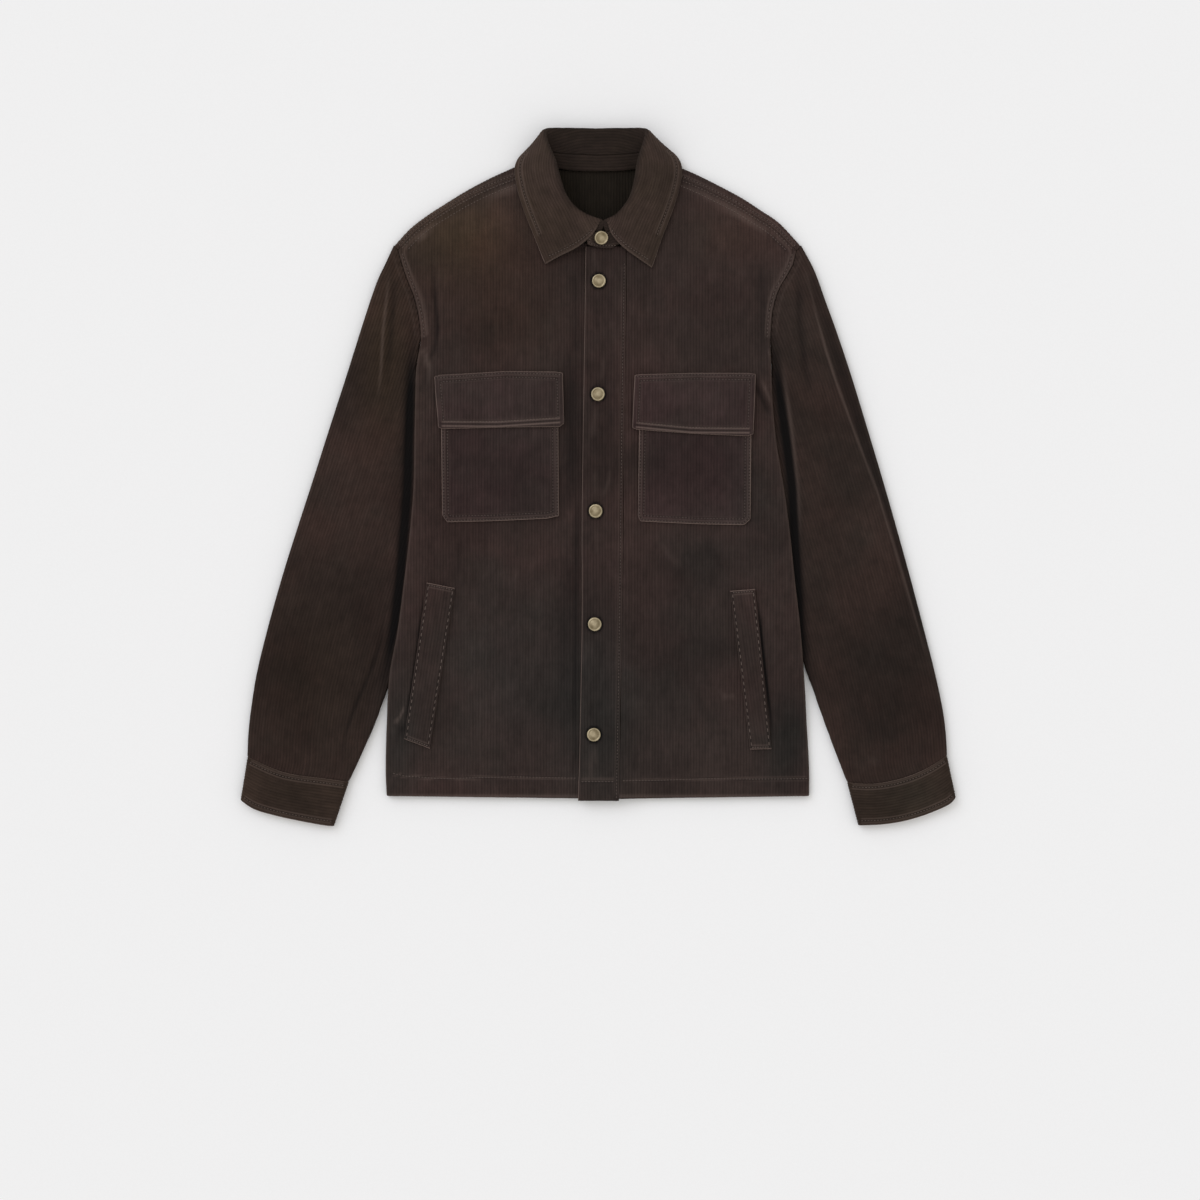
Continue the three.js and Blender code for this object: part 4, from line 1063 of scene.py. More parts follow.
@dataclass(frozen=True)
class Corduroy:
    """Cut-pile cotton in fine ribs.

    Attributes:
        name: the material's name.
        crest: colour of the ribs.
        valley: colour of the ground between them, darker partly as painted shade in the grooves.
        cool: colour that the nap drifts to in patches.
        worn: colour of the rubbed rims and crests, which also paints their highlights.
        shade_colour: colour of the painted shade in grooves, creases and slits.
        greyer: light that the greyer dye keeps.
        browner: light that the browner dye keeps.
        sheen: how strongly the pile catches low light.
    """

    name: str
    crest: Colour
    valley: Colour
    cool: Colour
    worn: Colour = (152, 131, 122)
    shade_colour: Colour = (6, 6, 7)
    greyer: tuple[float, ...] = (0.74, 1.03, 1.06, 1.0)
    browner: tuple[float, ...] = (1.04, 1.0, 0.72, 1.0)
    sheen: float = 0.10

    def build(self) -> Material:
        """The material.

        Returns:
            The material.
        """
        g = Graph(self.name)
        grain = g.add("ShaderNodeUVMap", uv_map="Grain")
        parts = g.tree.nodes.new("ShaderNodeSeparateXYZ")
        g.tree.links.new(grain, parts.inputs[0])
        across, along = parts.outputs[0], parts.outputs[1]
        ridge = self._ridge(g, grain, across)
        body = g.body()
        pile = g.noise(g.vector(g.math("MULTIPLY", across, 3.2), along), 900.0, 3.0, 0.7)
        streaks = g.vector(g.math("MULTIPLY", across, 9.0), along)

        ground = self._ground(g, ridge, body, streaks)
        tone = self._tone(g, body, streaks, pile)
        toned = g.times(g.times(ground, g.vector(tone, tone, tone)), self._dye(g))
        # The worn mark lightens rims and crests, as rubbed nap and painted highlight.
        rubbed = g.math("MULTIPLY", g.mark("worn"), g.spread(pile, 0.3, 0.7, 0.55, 1.0))
        rims = g.blend(rubbed, toned, tint(*self.worn))
        # Painted shade: the shade mark darkens grooves, creases, slits and the neck side towards a near
        # black.
        colour = g.blend(g.math("MULTIPLY", g.mark("shade"), 0.97), rims, tint(*self.shade_colour))
        relief = g.math("ADD", g.math("MULTIPLY", ridge, 0.00034), g.math("MULTIPLY", pile, 0.00016))
        return g.close(colour, relief, 0.75, Roughness=0.92, Specular_IOR_Level=0.12, Sheen_Weight=self.sheen,
                       Sheen_Roughness=0.45, Sheen_Tint=tint(196, 170, 148))

    @staticmethod
    def _ridge(g: Graph, grain: Socket, across: Socket) -> Socket:
        """The ribs' height from 0 to 1, a little unsteady."""
        wobble = g.noise(grain, 55.0, 1.0)
        drift = g.math("MULTIPLY_ADD", wobble, 0.0009, across)
        turn = g.math("COSINE", g.math("MULTIPLY", drift, math.pi / (WALE_PITCH * MM)))
        return g.math("POWER", g.math("ABSOLUTE", turn), 0.7)

    def _ground(self, g: Graph, ridge: Socket, body: Socket, streaks: Socket) -> Socket:
        """The ribs' colours, blurred in places, in two hues.

        Args:
            g: the material's graph.
            ridge: the ribs' height.
            body: the place on the object.
            streaks: the place along the ribs, drawn out.

        Returns:
            The colour.
        """
        clear = g.spread(g.noise(streaks, 95.0, 4.0, 0.7), 0.36, 0.62, 0.25, 1.0)
        shown = g.math("MULTIPLY_ADD", g.math("SUBTRACT", ridge, WALE_MEAN), clear, WALE_MEAN)
        warm = g.blend(shown, tint(*self.valley), tint(*self.crest))
        cool = g.blend(shown, tint(*(0.76 * c for c in self.cool)), tint(*self.cool))
        clouds = {"Vector": body, "Scale": 7.5, "Detail": 5.0, "Roughness": 0.62, "W": 3.0}
        hue = g.add("ShaderNodeTexNoise", clouds, noise_dimensions="4D")
        return g.blend(g.spread(hue, 0.43, 0.57, 0.0, 0.9), warm, cool)

    @staticmethod
    def _tone(g: Graph, body: Socket, streaks: Socket, pile: Socket) -> Socket:
        """How light the nap stands: random patches, streaks, mottling and pile together, times the patches of
        painted light and shade.

        Args:
            g: the material's graph.
            body: the place on the object.
            streaks: the place along the ribs, drawn out.
            pile: the pile's fine noise.

        Returns:
            A factor on the colour.
        """
        patch = g.spread(g.noise(body, 9.0, 3.0, 0.55), 0.3, 0.7, 0.80, 1.22)
        streak = g.spread(g.noise(streaks, 34.0, 3.0), 0.25, 0.75, 0.84, 1.18)
        mottle = g.spread(g.noise(body, 75.0, 5.0, 0.72), 0.3, 0.7, 0.82, 1.2)
        tone = g.math("MULTIPLY", g.math("MULTIPLY", patch, streak), mottle)
        tone = g.math("MULTIPLY", tone, g.spread(pile, 0.25, 0.75, 0.74, 1.30))
        # Patches of painted light and shade, stored at the points.
        return g.math("MULTIPLY", tone, g.spread(g.mark("nap"), 0.0, 1.0, 0.55, 1.45))

    def _dye(self, g: Graph) -> Socket:
        """The light that the greyer and browner patches keep."""
        dye = g.mark("dye")
        turned = g.blend(g.spread(dye, 0.0, 0.5, 1.0, 0.0), (1.0, 1.0, 1.0, 1.0), self.greyer)
        return g.blend(g.spread(dye, 0.5, 1.0, 0.0, 1.0), turned, self.browner)


@dataclass(frozen=True)
class Thread:
    """Twisted sewing thread."""

    name: str = "brown_thread"
    light: Colour = (124, 107, 98)
    dark: Colour = (82, 69, 63)

    def build(self) -> Material:
        """The material."""
        g = Graph(self.name)
        body = g.body()
        ply = g.add("ShaderNodeTexWave", {"Vector": body, "Scale": 900.0, "Distortion": 2.0},
                    bands_direction="DIAGONAL")
        colour = g.blend(g.math("MULTIPLY", ply, g.noise(body, 120.0)), tint(*self.dark), tint(*self.light))
        return g.close(colour, g.math("MULTIPLY", ply, 0.0001), 0.6, Roughness=0.7, Sheen_Weight=0.15,
                       Specular_IOR_Level=0.25)


@dataclass(frozen=True)
class Brass:
    """Aged brass, rubbed bright on its high places."""

    name: str = "aged_brass"
    bright: Colour = (198, 184, 154)
    dull: Colour = (112, 99, 74)

    def build(self) -> Material:
        """The material."""
        g = Graph(self.name)
        body = g.body()
        spots = g.noise(body, 420.0, 4.0, 0.7)
        cloud = g.spread(g.noise(body, 90.0), 0.3, 0.7, 0.0, 0.5)
        share = g.math("ADD", g.math("MULTIPLY", g.mark("worn"), 0.6), cloud)
        share = g.math("MULTIPLY", share, g.spread(spots, 0.3, 0.6, 0.6, 1.0))
        colour = g.blend(share, tint(*self.dull), tint(*self.bright))
        return g.close(colour, g.math("MULTIPLY", spots, 0.00006), 0.5, Metallic=0.85,
                       Roughness=g.spread(spots, 0.3, 0.7, 0.34, 0.52))


@dataclass(frozen=True)
class Paper:
    """The pale ground."""

    name: str = "pale_ground"
    colour: Colour = (244, 244, 245)

    def build(self) -> Material:
        """The material."""
        g = Graph(self.name)
        tooth = g.noise(g.body(), 600.0, 3.0)
        darker = tint(*(part - 2 for part in self.colour))
        colour = g.blend(g.spread(tooth, 0.3, 0.7, 0.0, 1.0), tint(*self.colour), darker)
        relief = g.math("MULTIPLY", tooth, 0.00004)
        return g.close(colour, relief, 0.3, Roughness=0.95, Specular_IOR_Level=0.0)


def lay_stitches(starts: Array, ends: Array, ups: Array, radii: Array, name: str) -> Object:
    """Low capsules of thread between pairs of points, as one mesh.

    Args:
        starts: count x 3 in metres.
        ends: the same for the other ends.
        ups: directions out of the cloth.
        radii: half the thickness of each, in metres.
        name: the object's name.

    Returns:
        The mesh object.
    """
    shares, swell, sink = (part[:, None] for part in STITCH_RINGS.T)
    thick = radii[:, None, None]
    along = (ends - starts)[:, None]
    across = unit(np.cross(along, ups[:, None]))
    up = np.cross(across, unit(along))
    turn = np.linspace(0, 2 * math.pi, STITCH_SIDES, endpoint=False)[:, None]
    centre = starts[:, None] + along * shares + up * sink * thick
    spokes = np.cos(turn) * across + np.sin(turn) * up
    rings = centre[:, :, None] + spokes[:, None] * (swell * thick)[..., None]
    tips = np.stack([starts, ends], 1) - up * thick
    points = np.concatenate([rings.reshape(len(starts), -1, 3), tips], 1)
    size, last = points.shape[1], 2 * STITCH_SIDES
    faces = quads(index_grid(len(STITCH_RINGS), STITCH_SIDES, ring=True)).tolist()
    for j in range(STITCH_SIDES):
        k = (j + 1) % STITCH_SIDES
        faces += [(size - 2, k, j), (size - 1, last + j, last + k)]
    made = [[base + i for i in face] for base in range(0, len(starts) * size, size) for face in faces]
    return add_mesh(name, points, made)


@dataclass
class Wardrobe:
    """The finishes, each made once."""

    body: Corduroy = Corduroy("body_corduroy", (57, 43, 40), (43, 32, 30), (52, 42, 39))
    sleeve: Corduroy = Corduroy("sleeve_corduroy", (53, 39, 35), (39, 29, 25), (47, 37, 33))
    pocket: Corduroy = Corduroy("pocket_corduroy", (56, 42, 41), (42, 31, 31), (52, 42, 40))
    collar: Corduroy = Corduroy("collar_corduroy", (63, 50, 45), (46, 36, 32), (58, 47, 40))
    cuff: Corduroy = Corduroy("cuff_corduroy", (50, 39, 33), (37, 28, 23), (49, 39, 32))
    # A darker copy of the corduroy, painted shade for the back where it shows inside the neck.
    inside: Corduroy = Corduroy("shaded_inside_corduroy", (34, 28, 22), (19, 15, 11), (31, 26, 20), sheen=0.04)
    thread: Thread = Thread()
    brass: Brass = Brass()
    paper: Paper = Paper()
    made: dict[str, Material] = field(default_factory=dict)

    def take(self, name: str) -> Material:
        """A finish by its name, built the first time it is wanted."""
        if name not in self.made:
            self.made[name] = getattr(self, name).build()
        return self.made[name]


@dataclass
class Piece:
    """A sewn piece of cloth that stands for a node of the frame.

    Attributes:
        node: the frame's node.
        finish: its cloth in the wardrobe.
        slot: the record's material slot; not used.
        flat: width and length of the cut; not used.
        area: its flat area where it isn't a rectangle; not used.
        held: how the cloth is held; not used.
        rests_on: what it lies on.
        side: the wearer's side, for a paired piece.
    """

    node: str = ""
    finish: str = "body"
    slot: str = "corduroy_body"
    flat: Pair = (0.1, 0.1)
    area: float | None = None
    held: str = "laid"
    rests_on: Names = ()
    side: Side = Side.RIGHT

    def shell(self) -> Shell:
        """The piece's two sides, without ribs or sewing."""
        raise NotImplementedError

    def seams(self) -> list[Seam]:
        """The lines of sewing that show on it."""
        return []

    def finish_marks(self, shell: Shell) -> None:
        """Last changes to the marks, once the edges are round."""

    def rib_share(self, x: Array, y: Array) -> Array:
        """How much of the ribs' height the mesh carries at a place."""
        return np.ones(np.shape(x))

    def make(self, wardrobe: Wardrobe) -> Object:
        """Args:
            wardrobe: the finishes.

        Returns:
            The cloth.
        """
        shell = self.shell()
        shell.round_edges()
        self.finish_marks(shell)
        x, y = shell.outer[..., 0], shell.outer[..., 1]
        ribs = wales(shell.grain[..., 0]) * self.rib_share(x, y)
        facing = smooth(0.0, 0.35, shell.normals()[..., 2])
        sewn = np.zeros(x.shape)
        for seam in self.seams():
            relief, groove, beside = seam.relief(x, y)
            sewn += relief * facing
            ribs = ribs * (1 - 0.7 * groove * facing)
            # Painted shade in each groove, and the crests beside it lighter as rubbed nap and painted
            # highlight.
            shell.shade = np.maximum(shell.shade, seam.dark * groove * facing)
            shell.worn = np.maximum(shell.worn, seam.rubbed * beside * facing)
        shell.emboss(ribs + sewn)
        cloth = shell.build(self.node + "_cloth")
        cloth.data.materials.append(wardrobe.take(self.finish))
        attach(cloth, "root")
        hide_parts(self.node)
        threads = self.sew(cloth, wardrobe)
        list(self.rests_on)
        log.info("%s: %d faces, %d seams", self.node, len(cloth.data.polygons), len(self.seams()))
        return cloth

    def sew(self, cloth: Object, wardrobe: Wardrobe) -> list[Object]:
        """Lays the stitches of all the seams on the finished cloth.

        Args:
            cloth: the finished cloth.
            wardrobe: the finishes.

        Returns:
            The one mesh of thread, or nothing where there is no seam.
        """
        mesh = cloth.data
        tree = BVHTree.FromPolygons([v.co[:] for v in mesh.vertices], [p.vertices[:] for p in mesh.polygons])
        found = []
        for seam in self.seams():
            path = np.asarray(seam.path, float)
            line, total = by_length(path), run_of(path)[-1]
            count = max(1, int(total / seam.pitch))
            middles = (np.arange(count) + 0.5) / count
            half = seam.length / 2 / total
            for pair in zip(line(middles - half), line(middles + half)):
                first, second = (self._drop(tree, point) for point in pair)
                if first and second and (first[0] - second[0]).length < 2 * seam.length * MM:
                    found.append((first[0], second[0], first[1], seam.thread * MM))
        if not found:
            return []
        starts, ends, ups, radii = (np.array(values) for values in zip(*found))
        thread = lay_stitches(starts, ends, ups, radii, self.node + "_stitches")
        thread.data.materials.append(wardrobe.take("thread"))
        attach(thread, "root")
        return [thread]

    @staticmethod
    def _drop(tree: BVHTree, point: Array) -> tuple[Vector, Vector] | None:
        """Where a point in plan lies on the cloth, and the way out of it.

        Args:
            tree: the cloth's faces.
            point: the place in plan.

        Returns:
            The spot and the direction, or nothing off the cloth.
        """
        x, y = (point + ORIGIN_SHIFT[:2]) * MM
        spot, normal, _, _ = tree.ray_cast(Vector((x, y, DROP_FROM)), Vector((0, 0, -1)))
        if spot is None:
            return None
        up = normal if normal.z > 0 else -normal
        return (spot, (up + Vector((0, 0, 1))).normalized())


def side_line(side: Side, offset: float = 0.0) -> Array:
    """The body's side edge as points, moved inward."""
    column_at = 1 if side is Side.RIGHT else 2
    return np.stack([SIDE_EDGE[:, column_at] - side.value * offset, SIDE_EDGE[:, 0]], -1)


def in_from_ridge(side: Side, distance: Callable[[Array], Array]) -> Curve:
    """The shoulder ridge moved inward by a distance given along it.

    Args:
        side: the wearer's side.
        distance: distances for shares of the ridge.

    Returns:
        The moved line, from the neck out.
    """
    ridge = through(SHOULDER[side][:, :2])

    def at(t: Array) -> Array:
        """Points at shares t."""
        t = np.asarray(t, float)
        tangent = unit(ridge(np.minimum(t + 0.01, 1)) - ridge(np.maximum(t - 0.01, 0)))
        across = np.stack([tangent[..., 1], -tangent[..., 0]], -1)
        across = np.where(across[..., 1:] > 0, -across, across)
        return ridge(t) + across * distance(t)[..., None]

    return at


def strip_seam(side: Side, extra: float) -> Curve:
    """The seam in front of the yoke's strip."""
    width = column(SHOULDER[side][:, 2])
    return in_from_ridge(side, lambda t: width(t) + extra)


def armhole_points(side: Side, extra: float) -> list[list[float]]:
    """The armhole seam from the armpit to the yoke's strip."""
    return [*ARMHOLE[side], strip_seam(side, extra)(np.ones(1))[0].tolist()]


def edge_runs(start: Array, second: Array, share: Array, under: Surface, top: Surface) -> tuple[Array, Array]:
    """Points that take each row of a layer over its outline.

    Args:
        start: rows x 2, the outline.
        second: rows x 2, the next points in.
        share: rows, how much of the edge is rolled and not plainly cut.
        under: the layer's underside.
        top: its upper side.

    Returns:
        Outer and inner runs, rows x 5 x 3.
    """
    inward = unit(second - start)
    base = lift(start[:, 0], start[:, 1])
    outer, inner = [], []
    for rolled, cut in zip(ROLL_EDGE, CUT_EDGE):
        out = start + inward * (cut[0] + (rolled[0] - cut[0]) * share)[:, None]
        within = start + inward * (cut[2] + (rolled[2] - cut[2]) * share)[:, None]
        low, high = under(out[:, 0], out[:, 1]), top(out[:, 0], out[:, 1])
        plain, turned = low + (high - low) * cut[1], base + (high - base) * rolled[1]
        inside = under(within[:, 0], within[:, 1])
        folded = base + (inside - base) * rolled[3]
        outer.append(np.column_stack([out, plain + (turned - plain) * share]))
        inner.append(np.column_stack([within, inside + (folded - inside) * share]))
    return np.stack(outer, 1), np.stack(inner, 1)


@dataclass
class Back(Piece):
    """The back, which lies on the ground and shows inside the neck, in the darker copy of the corduroy that
    paints the shade there.
    """

    node: str = "back"
    finish: str = "inside"
    flat: Pair = (0.475, 0.71)
    area: float | None = 0.292
    rests_on: Names = ("ground",)

    def shell(self) -> Shell:
        """One layer between the side seams and the shoulder ridges.

        Returns:
            The shell.
        """
        edge = {}
        for side in Side:
            low = through(side_line(side, BACK_INSET))
            upper = [[x - side.value * BACK_ARMHOLE_INSET, y - BACK_ARMHOLE_INSET]
                     for x, y in armhole_points(side, BACK_ARMHOLE_INSET)[2:]]
            high = through([[ARMHOLE[side][0][0] - side.value * BACK_INSET, ARMPIT_Y], *upper])
            edge[side] = chain(low, high, 0.8)
        roof = {side: self._roof(side, edge[side]) for side in Side}
        ends = [roof[side](np.ones(1))[0] for side in Side]
        neck = through([ends[0], *BACK_NECK, ends[1]])

        part = SHOULDER_SHARE

        def top(t: Array) -> Array:
            """The shoulders and the neck between them."""
            right = roof[Side.RIGHT](np.clip(t / part, 0, 1))
            left = roof[Side.LEFT](np.clip((1 - t) / part, 0, 1))
            middle = neck(np.clip((t - part) / (1 - 2 * part), 0, 1))
            return np.where((t < part)[..., None], right, np.where((t <= 1 - part)[..., None], middle, left))

        u = np.concatenate([np.linspace(0, part, 33)[:-1], np.linspace(part, 1 - part, 161),
                            np.linspace(1 - part, 1, 33)[1:]])
        v = np.concatenate([np.linspace(0, 0.75, 37)[:-1], np.linspace(0.75, 1, 45)])
        corner = [edge[side](np.zeros(1))[0] for side in Side]
        plan = plan_grid(straight(*corner), top, edge[Side.RIGHT], edge[Side.LEFT], u, v)
        x, y = plan[..., 0], plan[..., 1]
        low = lift(x, y)
        soft = sum(rise * np.exp(-((x - spot) / wide) ** 2) for spot, wide, rise in NECK_CREASES)
        high = low + BODY_CLOTH + soft * smooth(255, 300, y) * (1 - smooth(322, 334, y))
        return Shell(raised(plan, high), raised(plan, low), plan)

    @staticmethod
    def _roof(side: Side, edge: Curve) -> Curve:
        """The back's edge along a shoulder, from the sleeve to the neck."""
        line = in_from_ridge(side, lambda t: np.full(np.shape(t), BACK_INSET))
        jump = edge(np.ones(1))[0] - line(np.ones(1))[0]
        return lambda t: line(1 - t) + jump * (1 - smooth(0, 0.15, t))[..., None]

    def rib_share(self, x: Array, y: Array) -> Array:
        """Ribs where the back shows inside the neck."""
        return (1 - smooth(58, 74, np.abs(x))) * smooth(225, 245, y)


@dataclass
class Front(Piece):
    """One front, from the rolled side edge to the middle.

    Attributes:
        columns: stops across it.
        hem_wear_and_highlight: how light the hem's fold is drawn, as rubbed nap and painted highlight.
        side_wear_and_highlight: the same for the rolled side, and how far in and how wide that is.
    """

    columns: int = 242
    hem_wear_and_highlight: float = 0.16
    side_wear_and_highlight: tuple[float, float, float] = (0.10, 5.5, 1.6)
    rests_on: Names = ("back",)

    def shell(self) -> Shell:
        """The layer with its rolled side and its cut armhole.

        Returns:
            The shell.
        """
        side, sign = self.side, self.side.value
        offset = -UNDERLAP if side is Side.RIGHT else SEAM_GAP
        under = front_under if side is Side.RIGHT else left_under
        top = FRONT_TOP[side]
        edge = chain(through(side_line(side)), through(armhole_points(side, SEAM_GAP)), ARMPIT_SHARE)
        seam = strip_seam(side, SEAM_GAP)
        start = placket_seam(NECK_BASE_Y) + offset
        neck = [[x * sign, y] for x, y in FRONT_NECK if x > start * sign + 3]
        neck_line = through([[start, NECK_BASE_Y], *neck, seam(np.zeros(1))[0]])

        def centre(heights: Sequence[float]) -> Curve:
            """The middle edge between some heights."""
            return through([[placket_seam(y) + offset, y] for y in heights])

        upper = chain(centre([ARMPIT_Y, 200, NECK_BASE_Y]), neck_line, 3 / 7)
        middle = chain(centre([-350, -277, -160, -34, 90, ARMPIT_Y]), upper, ARMPIT_SHARE)
        v = self._row_stops()
        ends = [1 - 0.0055, 1 - 0.003, 1 - 0.0012, 1]
        u = np.concatenate([[0], np.linspace(0.05, 1 - 0.009, self.columns), ends])
        hem = straight(edge(np.zeros(1))[0], middle(np.zeros(1))[0])
        plan = plan_grid(hem, lambda t: seam(1 - t), edge, middle, u, v)
        share = 1 - smooth(ARMPIT_SHARE - 0.045, ARMPIT_SHARE + 0.01, v)
        roll_outer, roll_inner = edge_runs(plan[:, 0], plan[:, 1], share, under, top)
        flat = plan[:, 1:]
        x, y = flat[..., 0], flat[..., 1]
        outer = np.concatenate([resample(roll_outer, ROLL_STOPS), raised(flat, top(x, y))], 1)
        inner = np.concatenate([resample(roll_inner, ROLL_STOPS), raised(flat, under(x, y))], 1)
        lengths = np.linalg.norm(np.diff(outer[:, :ROLL_STOPS + 1], axis=1), axis=-1)
        over = np.cumsum(lengths[:, ::-1], axis=1)[:, ::-1]
        across = np.concatenate([outer[:, ROLL_STOPS, None, 0] + sign * over, outer[:, ROLL_STOPS:, 0]], 1)
        grain = np.stack([across, outer[..., 1]], -1)
        # Ridges, the rolled side and the hem drawn lighter as rubbed nap and painted highlight; troughs
        # darker as painted shade.
        worn, shade = fold_marks(FRONT_FOLDS, outer[..., 0], outer[..., 1])
        much, place, wide = self.side_wear_and_highlight
        near = (border_distance(outer, "l") - place) / wide
        worn = np.maximum(worn, much * np.exp(-near ** 2) * (share[:, None] > 0.5))
        worn = np.maximum(worn, self.hem_wear_and_highlight * np.exp(-((outer[..., 1] - HEM_Y) / wide) ** 2))
        return Shell(outer, inner, grain, worn=worn, shade=shade, round_sides="btr")

    @staticmethod
    def _row_stops() -> Array:
        """Rows, close together at the hem, its stitching and the shoulder."""
        low = np.array([0, 0.0005, 0.0012, 0.0022, 0.0034])
        hem = np.linspace(0.0034, 0.05, 17)[1:]
        rest = np.linspace(0.05, 1 - 0.003, 120)[1:]
        return np.concatenate([low, hem, rest, [1]])

    def seams(self) -> list[Seam]:
        """Hem, armhole and shoulder sewing.

        Returns:
            The rows of stitches.
        """
        sign = self.side.value
        hem = {
            Side.RIGHT: [[-224, -322], [-212, -325], [-172, -328], [-90, -326], [-24, -327.5]],
            Side.LEFT: [[26, -330], [60, -330], [119, -328], [170, -328.5], [228, -328]],
        }[self.side]
        armhole = through(armhole_points(self.side, 0))(np.linspace(0.02, 0.97, 24)) - [sign * 3.6, 0]
        shoulder = strip_seam(self.side, 2.2)(np.linspace(0.1, 0.98, 20))
        second = strip_seam(self.side, 8.0)(np.linspace(0.14, 0.96, 20))
        return [
            Seam(hem, pitch=3.4, length=2.5, depth=0.4, width=0.8, rubbed=0.11),
            Seam(armhole, pitch=4.2, length=2.6, depth=0.4, pucker=0.42, puff=0.2, rubbed=0.15, dark=0.2),
            Seam(shoulder, pitch=3.6, depth=0.5, pucker=0.12),
            Seam(second, pitch=3.6, depth=0.45, pucker=0.12),
        ]


@dataclass
class Placket(Piece):
    """The band down the middle.

    Attributes:
        grid: stops across and along.
        span: width and length that the stops are set for.
        swell: how high it rises between the snaps.
        drag: how much of the drag lines it takes.
    """

    node: str = "placket"
    flat: Pair = (0.047, 0.604)
    rests_on: Names = ("front_right",)
    grid: tuple[int, int] = (65, 201)
    span: Pair = (45.0, 603.0)
    swell: float = 0.5
    drag: float = 0.8

    def shell(self) -> Shell:
        """The band from its free edge to its seam.

        Returns:
            The shell.
        """
        edge, seam = through(PLACKET[:, [1, 0]]), through(PLACKET[:, [2, 0]])
        u, v = (edged(count, length) for count, length in zip(self.grid, self.span))
        plan = edge(v)[:, None] * (1 - u)[None, :, None] + seam(v)[:, None] * u[None, :, None]
        x, y = plan[..., 0], plan[..., 1]
        low = placket_under(x, y)
        high = low + PLACKET_CLOTH + self.swell * self._relax(x, y)
        creases = self._creases()
        high = high + self.drag * fold_height(creases, x, y)
        worn, shade = fold_marks(creases, x, y)
        far = np.linalg.norm(plan[..., None, :] - np.array(SNAPS), axis=-1).min(-1)
        # A ring of painted shade round each snap.
        shade = np.maximum(shade, 0.98 * np.exp(-((far - SNAP_RING) / 1.3) ** 2))
        return Shell(raised(plan, high), raised(plan, low), plan, highlight_and_wear_sides="l", worn=worn, shade=shade)

    @staticmethod
    def _creases() -> list[Fold]:
        """Short drag lines that run out from the snaps, the ridges a little lighter as rubbed nap and painted
        highlight and the troughs darker as painted shade.

        Returns:
            The creases, two above and two below each snap.
        """
        rng = np.random.default_rng(8)
        made = []
        for x, y in SNAPS[1:]:
            for way in (-1, 1):
                for _ in range(2):
                    side, reach = rng.uniform(-13, 19), rng.uniform(24, 52)
                    path = [[x + 0.3 * side, y + way * 10], [x + 0.8 * side, y + way * (10 + reach * 0.5)],
                            [x + side, y + way * (10 + reach)]]
                    rise = rng.uniform(-0.6, 0.5)
                    made.append(Fold(path, rng.uniform(2.4, 4.5), rise, worn=0.05 * (rise > 0),
                                     shade=0.16 * (rise < 0)))
        return made

    @staticmethod
    def _relax(x: Array, y: Array) -> Array:
        """How the band swells and dips between its snaps."""
        heights = np.array([spot[1] for spot in SNAPS[::-1]])
        gap = np.min(np.abs(y[..., None] - heights), axis=-1)
        return smooth(8, 40, gap) * np.cos(x / 40) * 0.6 - 0.5 * np.exp(-(gap / 13) ** 2) * (gap > 7.5)

    def seams(self) -> list[Seam]:
        """Topstitching near the seam."""
        seam = through(PLACKET[:, [2, 0]])(np.linspace(0.004, 0.97, 14)) - [2.6, 0]
        low = [[-19, -331], [17, -331]]
        return [Seam(seam, pitch=3.6, depth=0.4, rubbed=0.06), Seam(low, pitch=3.4, depth=0.35)]


@dataclass
class Yoke(Piece):
    """The strip of the back yoke that rolls over a shoulder.

    Attributes:
        rows: stops along the shoulder.
        length: of the shoulder.
        over: stops over the roll.
    """

    flat: Pair = (0.19, 0.014)
    area: float | None = 0.0025
    rests_on: Names = ("back",)
    rows: int = 201
    length: float = 190.0
    over: int = 25

    def shell(self) -> Shell:
        """The strip over the ridge, a row for each place along it.

        Returns:
            The shell.
        """
        t = edged(self.rows, self.length)
        ridge, seam = through(SHOULDER[self.side][:, :2])(t), strip_seam(self.side, 0)(t)
        outer, inner = edge_runs(ridge, seam, np.ones(len(t)), front_under, right_top)
        x, y = seam[:, 0], seam[:, 1]
        outer = np.concatenate([outer[:, :-1], raised(seam, right_top(x, y))[:, None]], 1)
        inner = np.concatenate([inner[:, :-1], raised(seam, front_under(x, y))[:, None]], 1)
        outer, inner = resample(outer, self.over), resample(inner, self.over)
        return Shell(outer, inner, outer[..., :2].copy(), round_sides="r")

    def seams(self) -> list[Seam]:
        """One row beside the seam."""
        line = strip_seam(self.side, -2.4)(np.linspace(0.12, 0.98, 20))
        return [Seam(line, pitch=3.6, depth=0.35, width=0.9, pucker=0.12)]


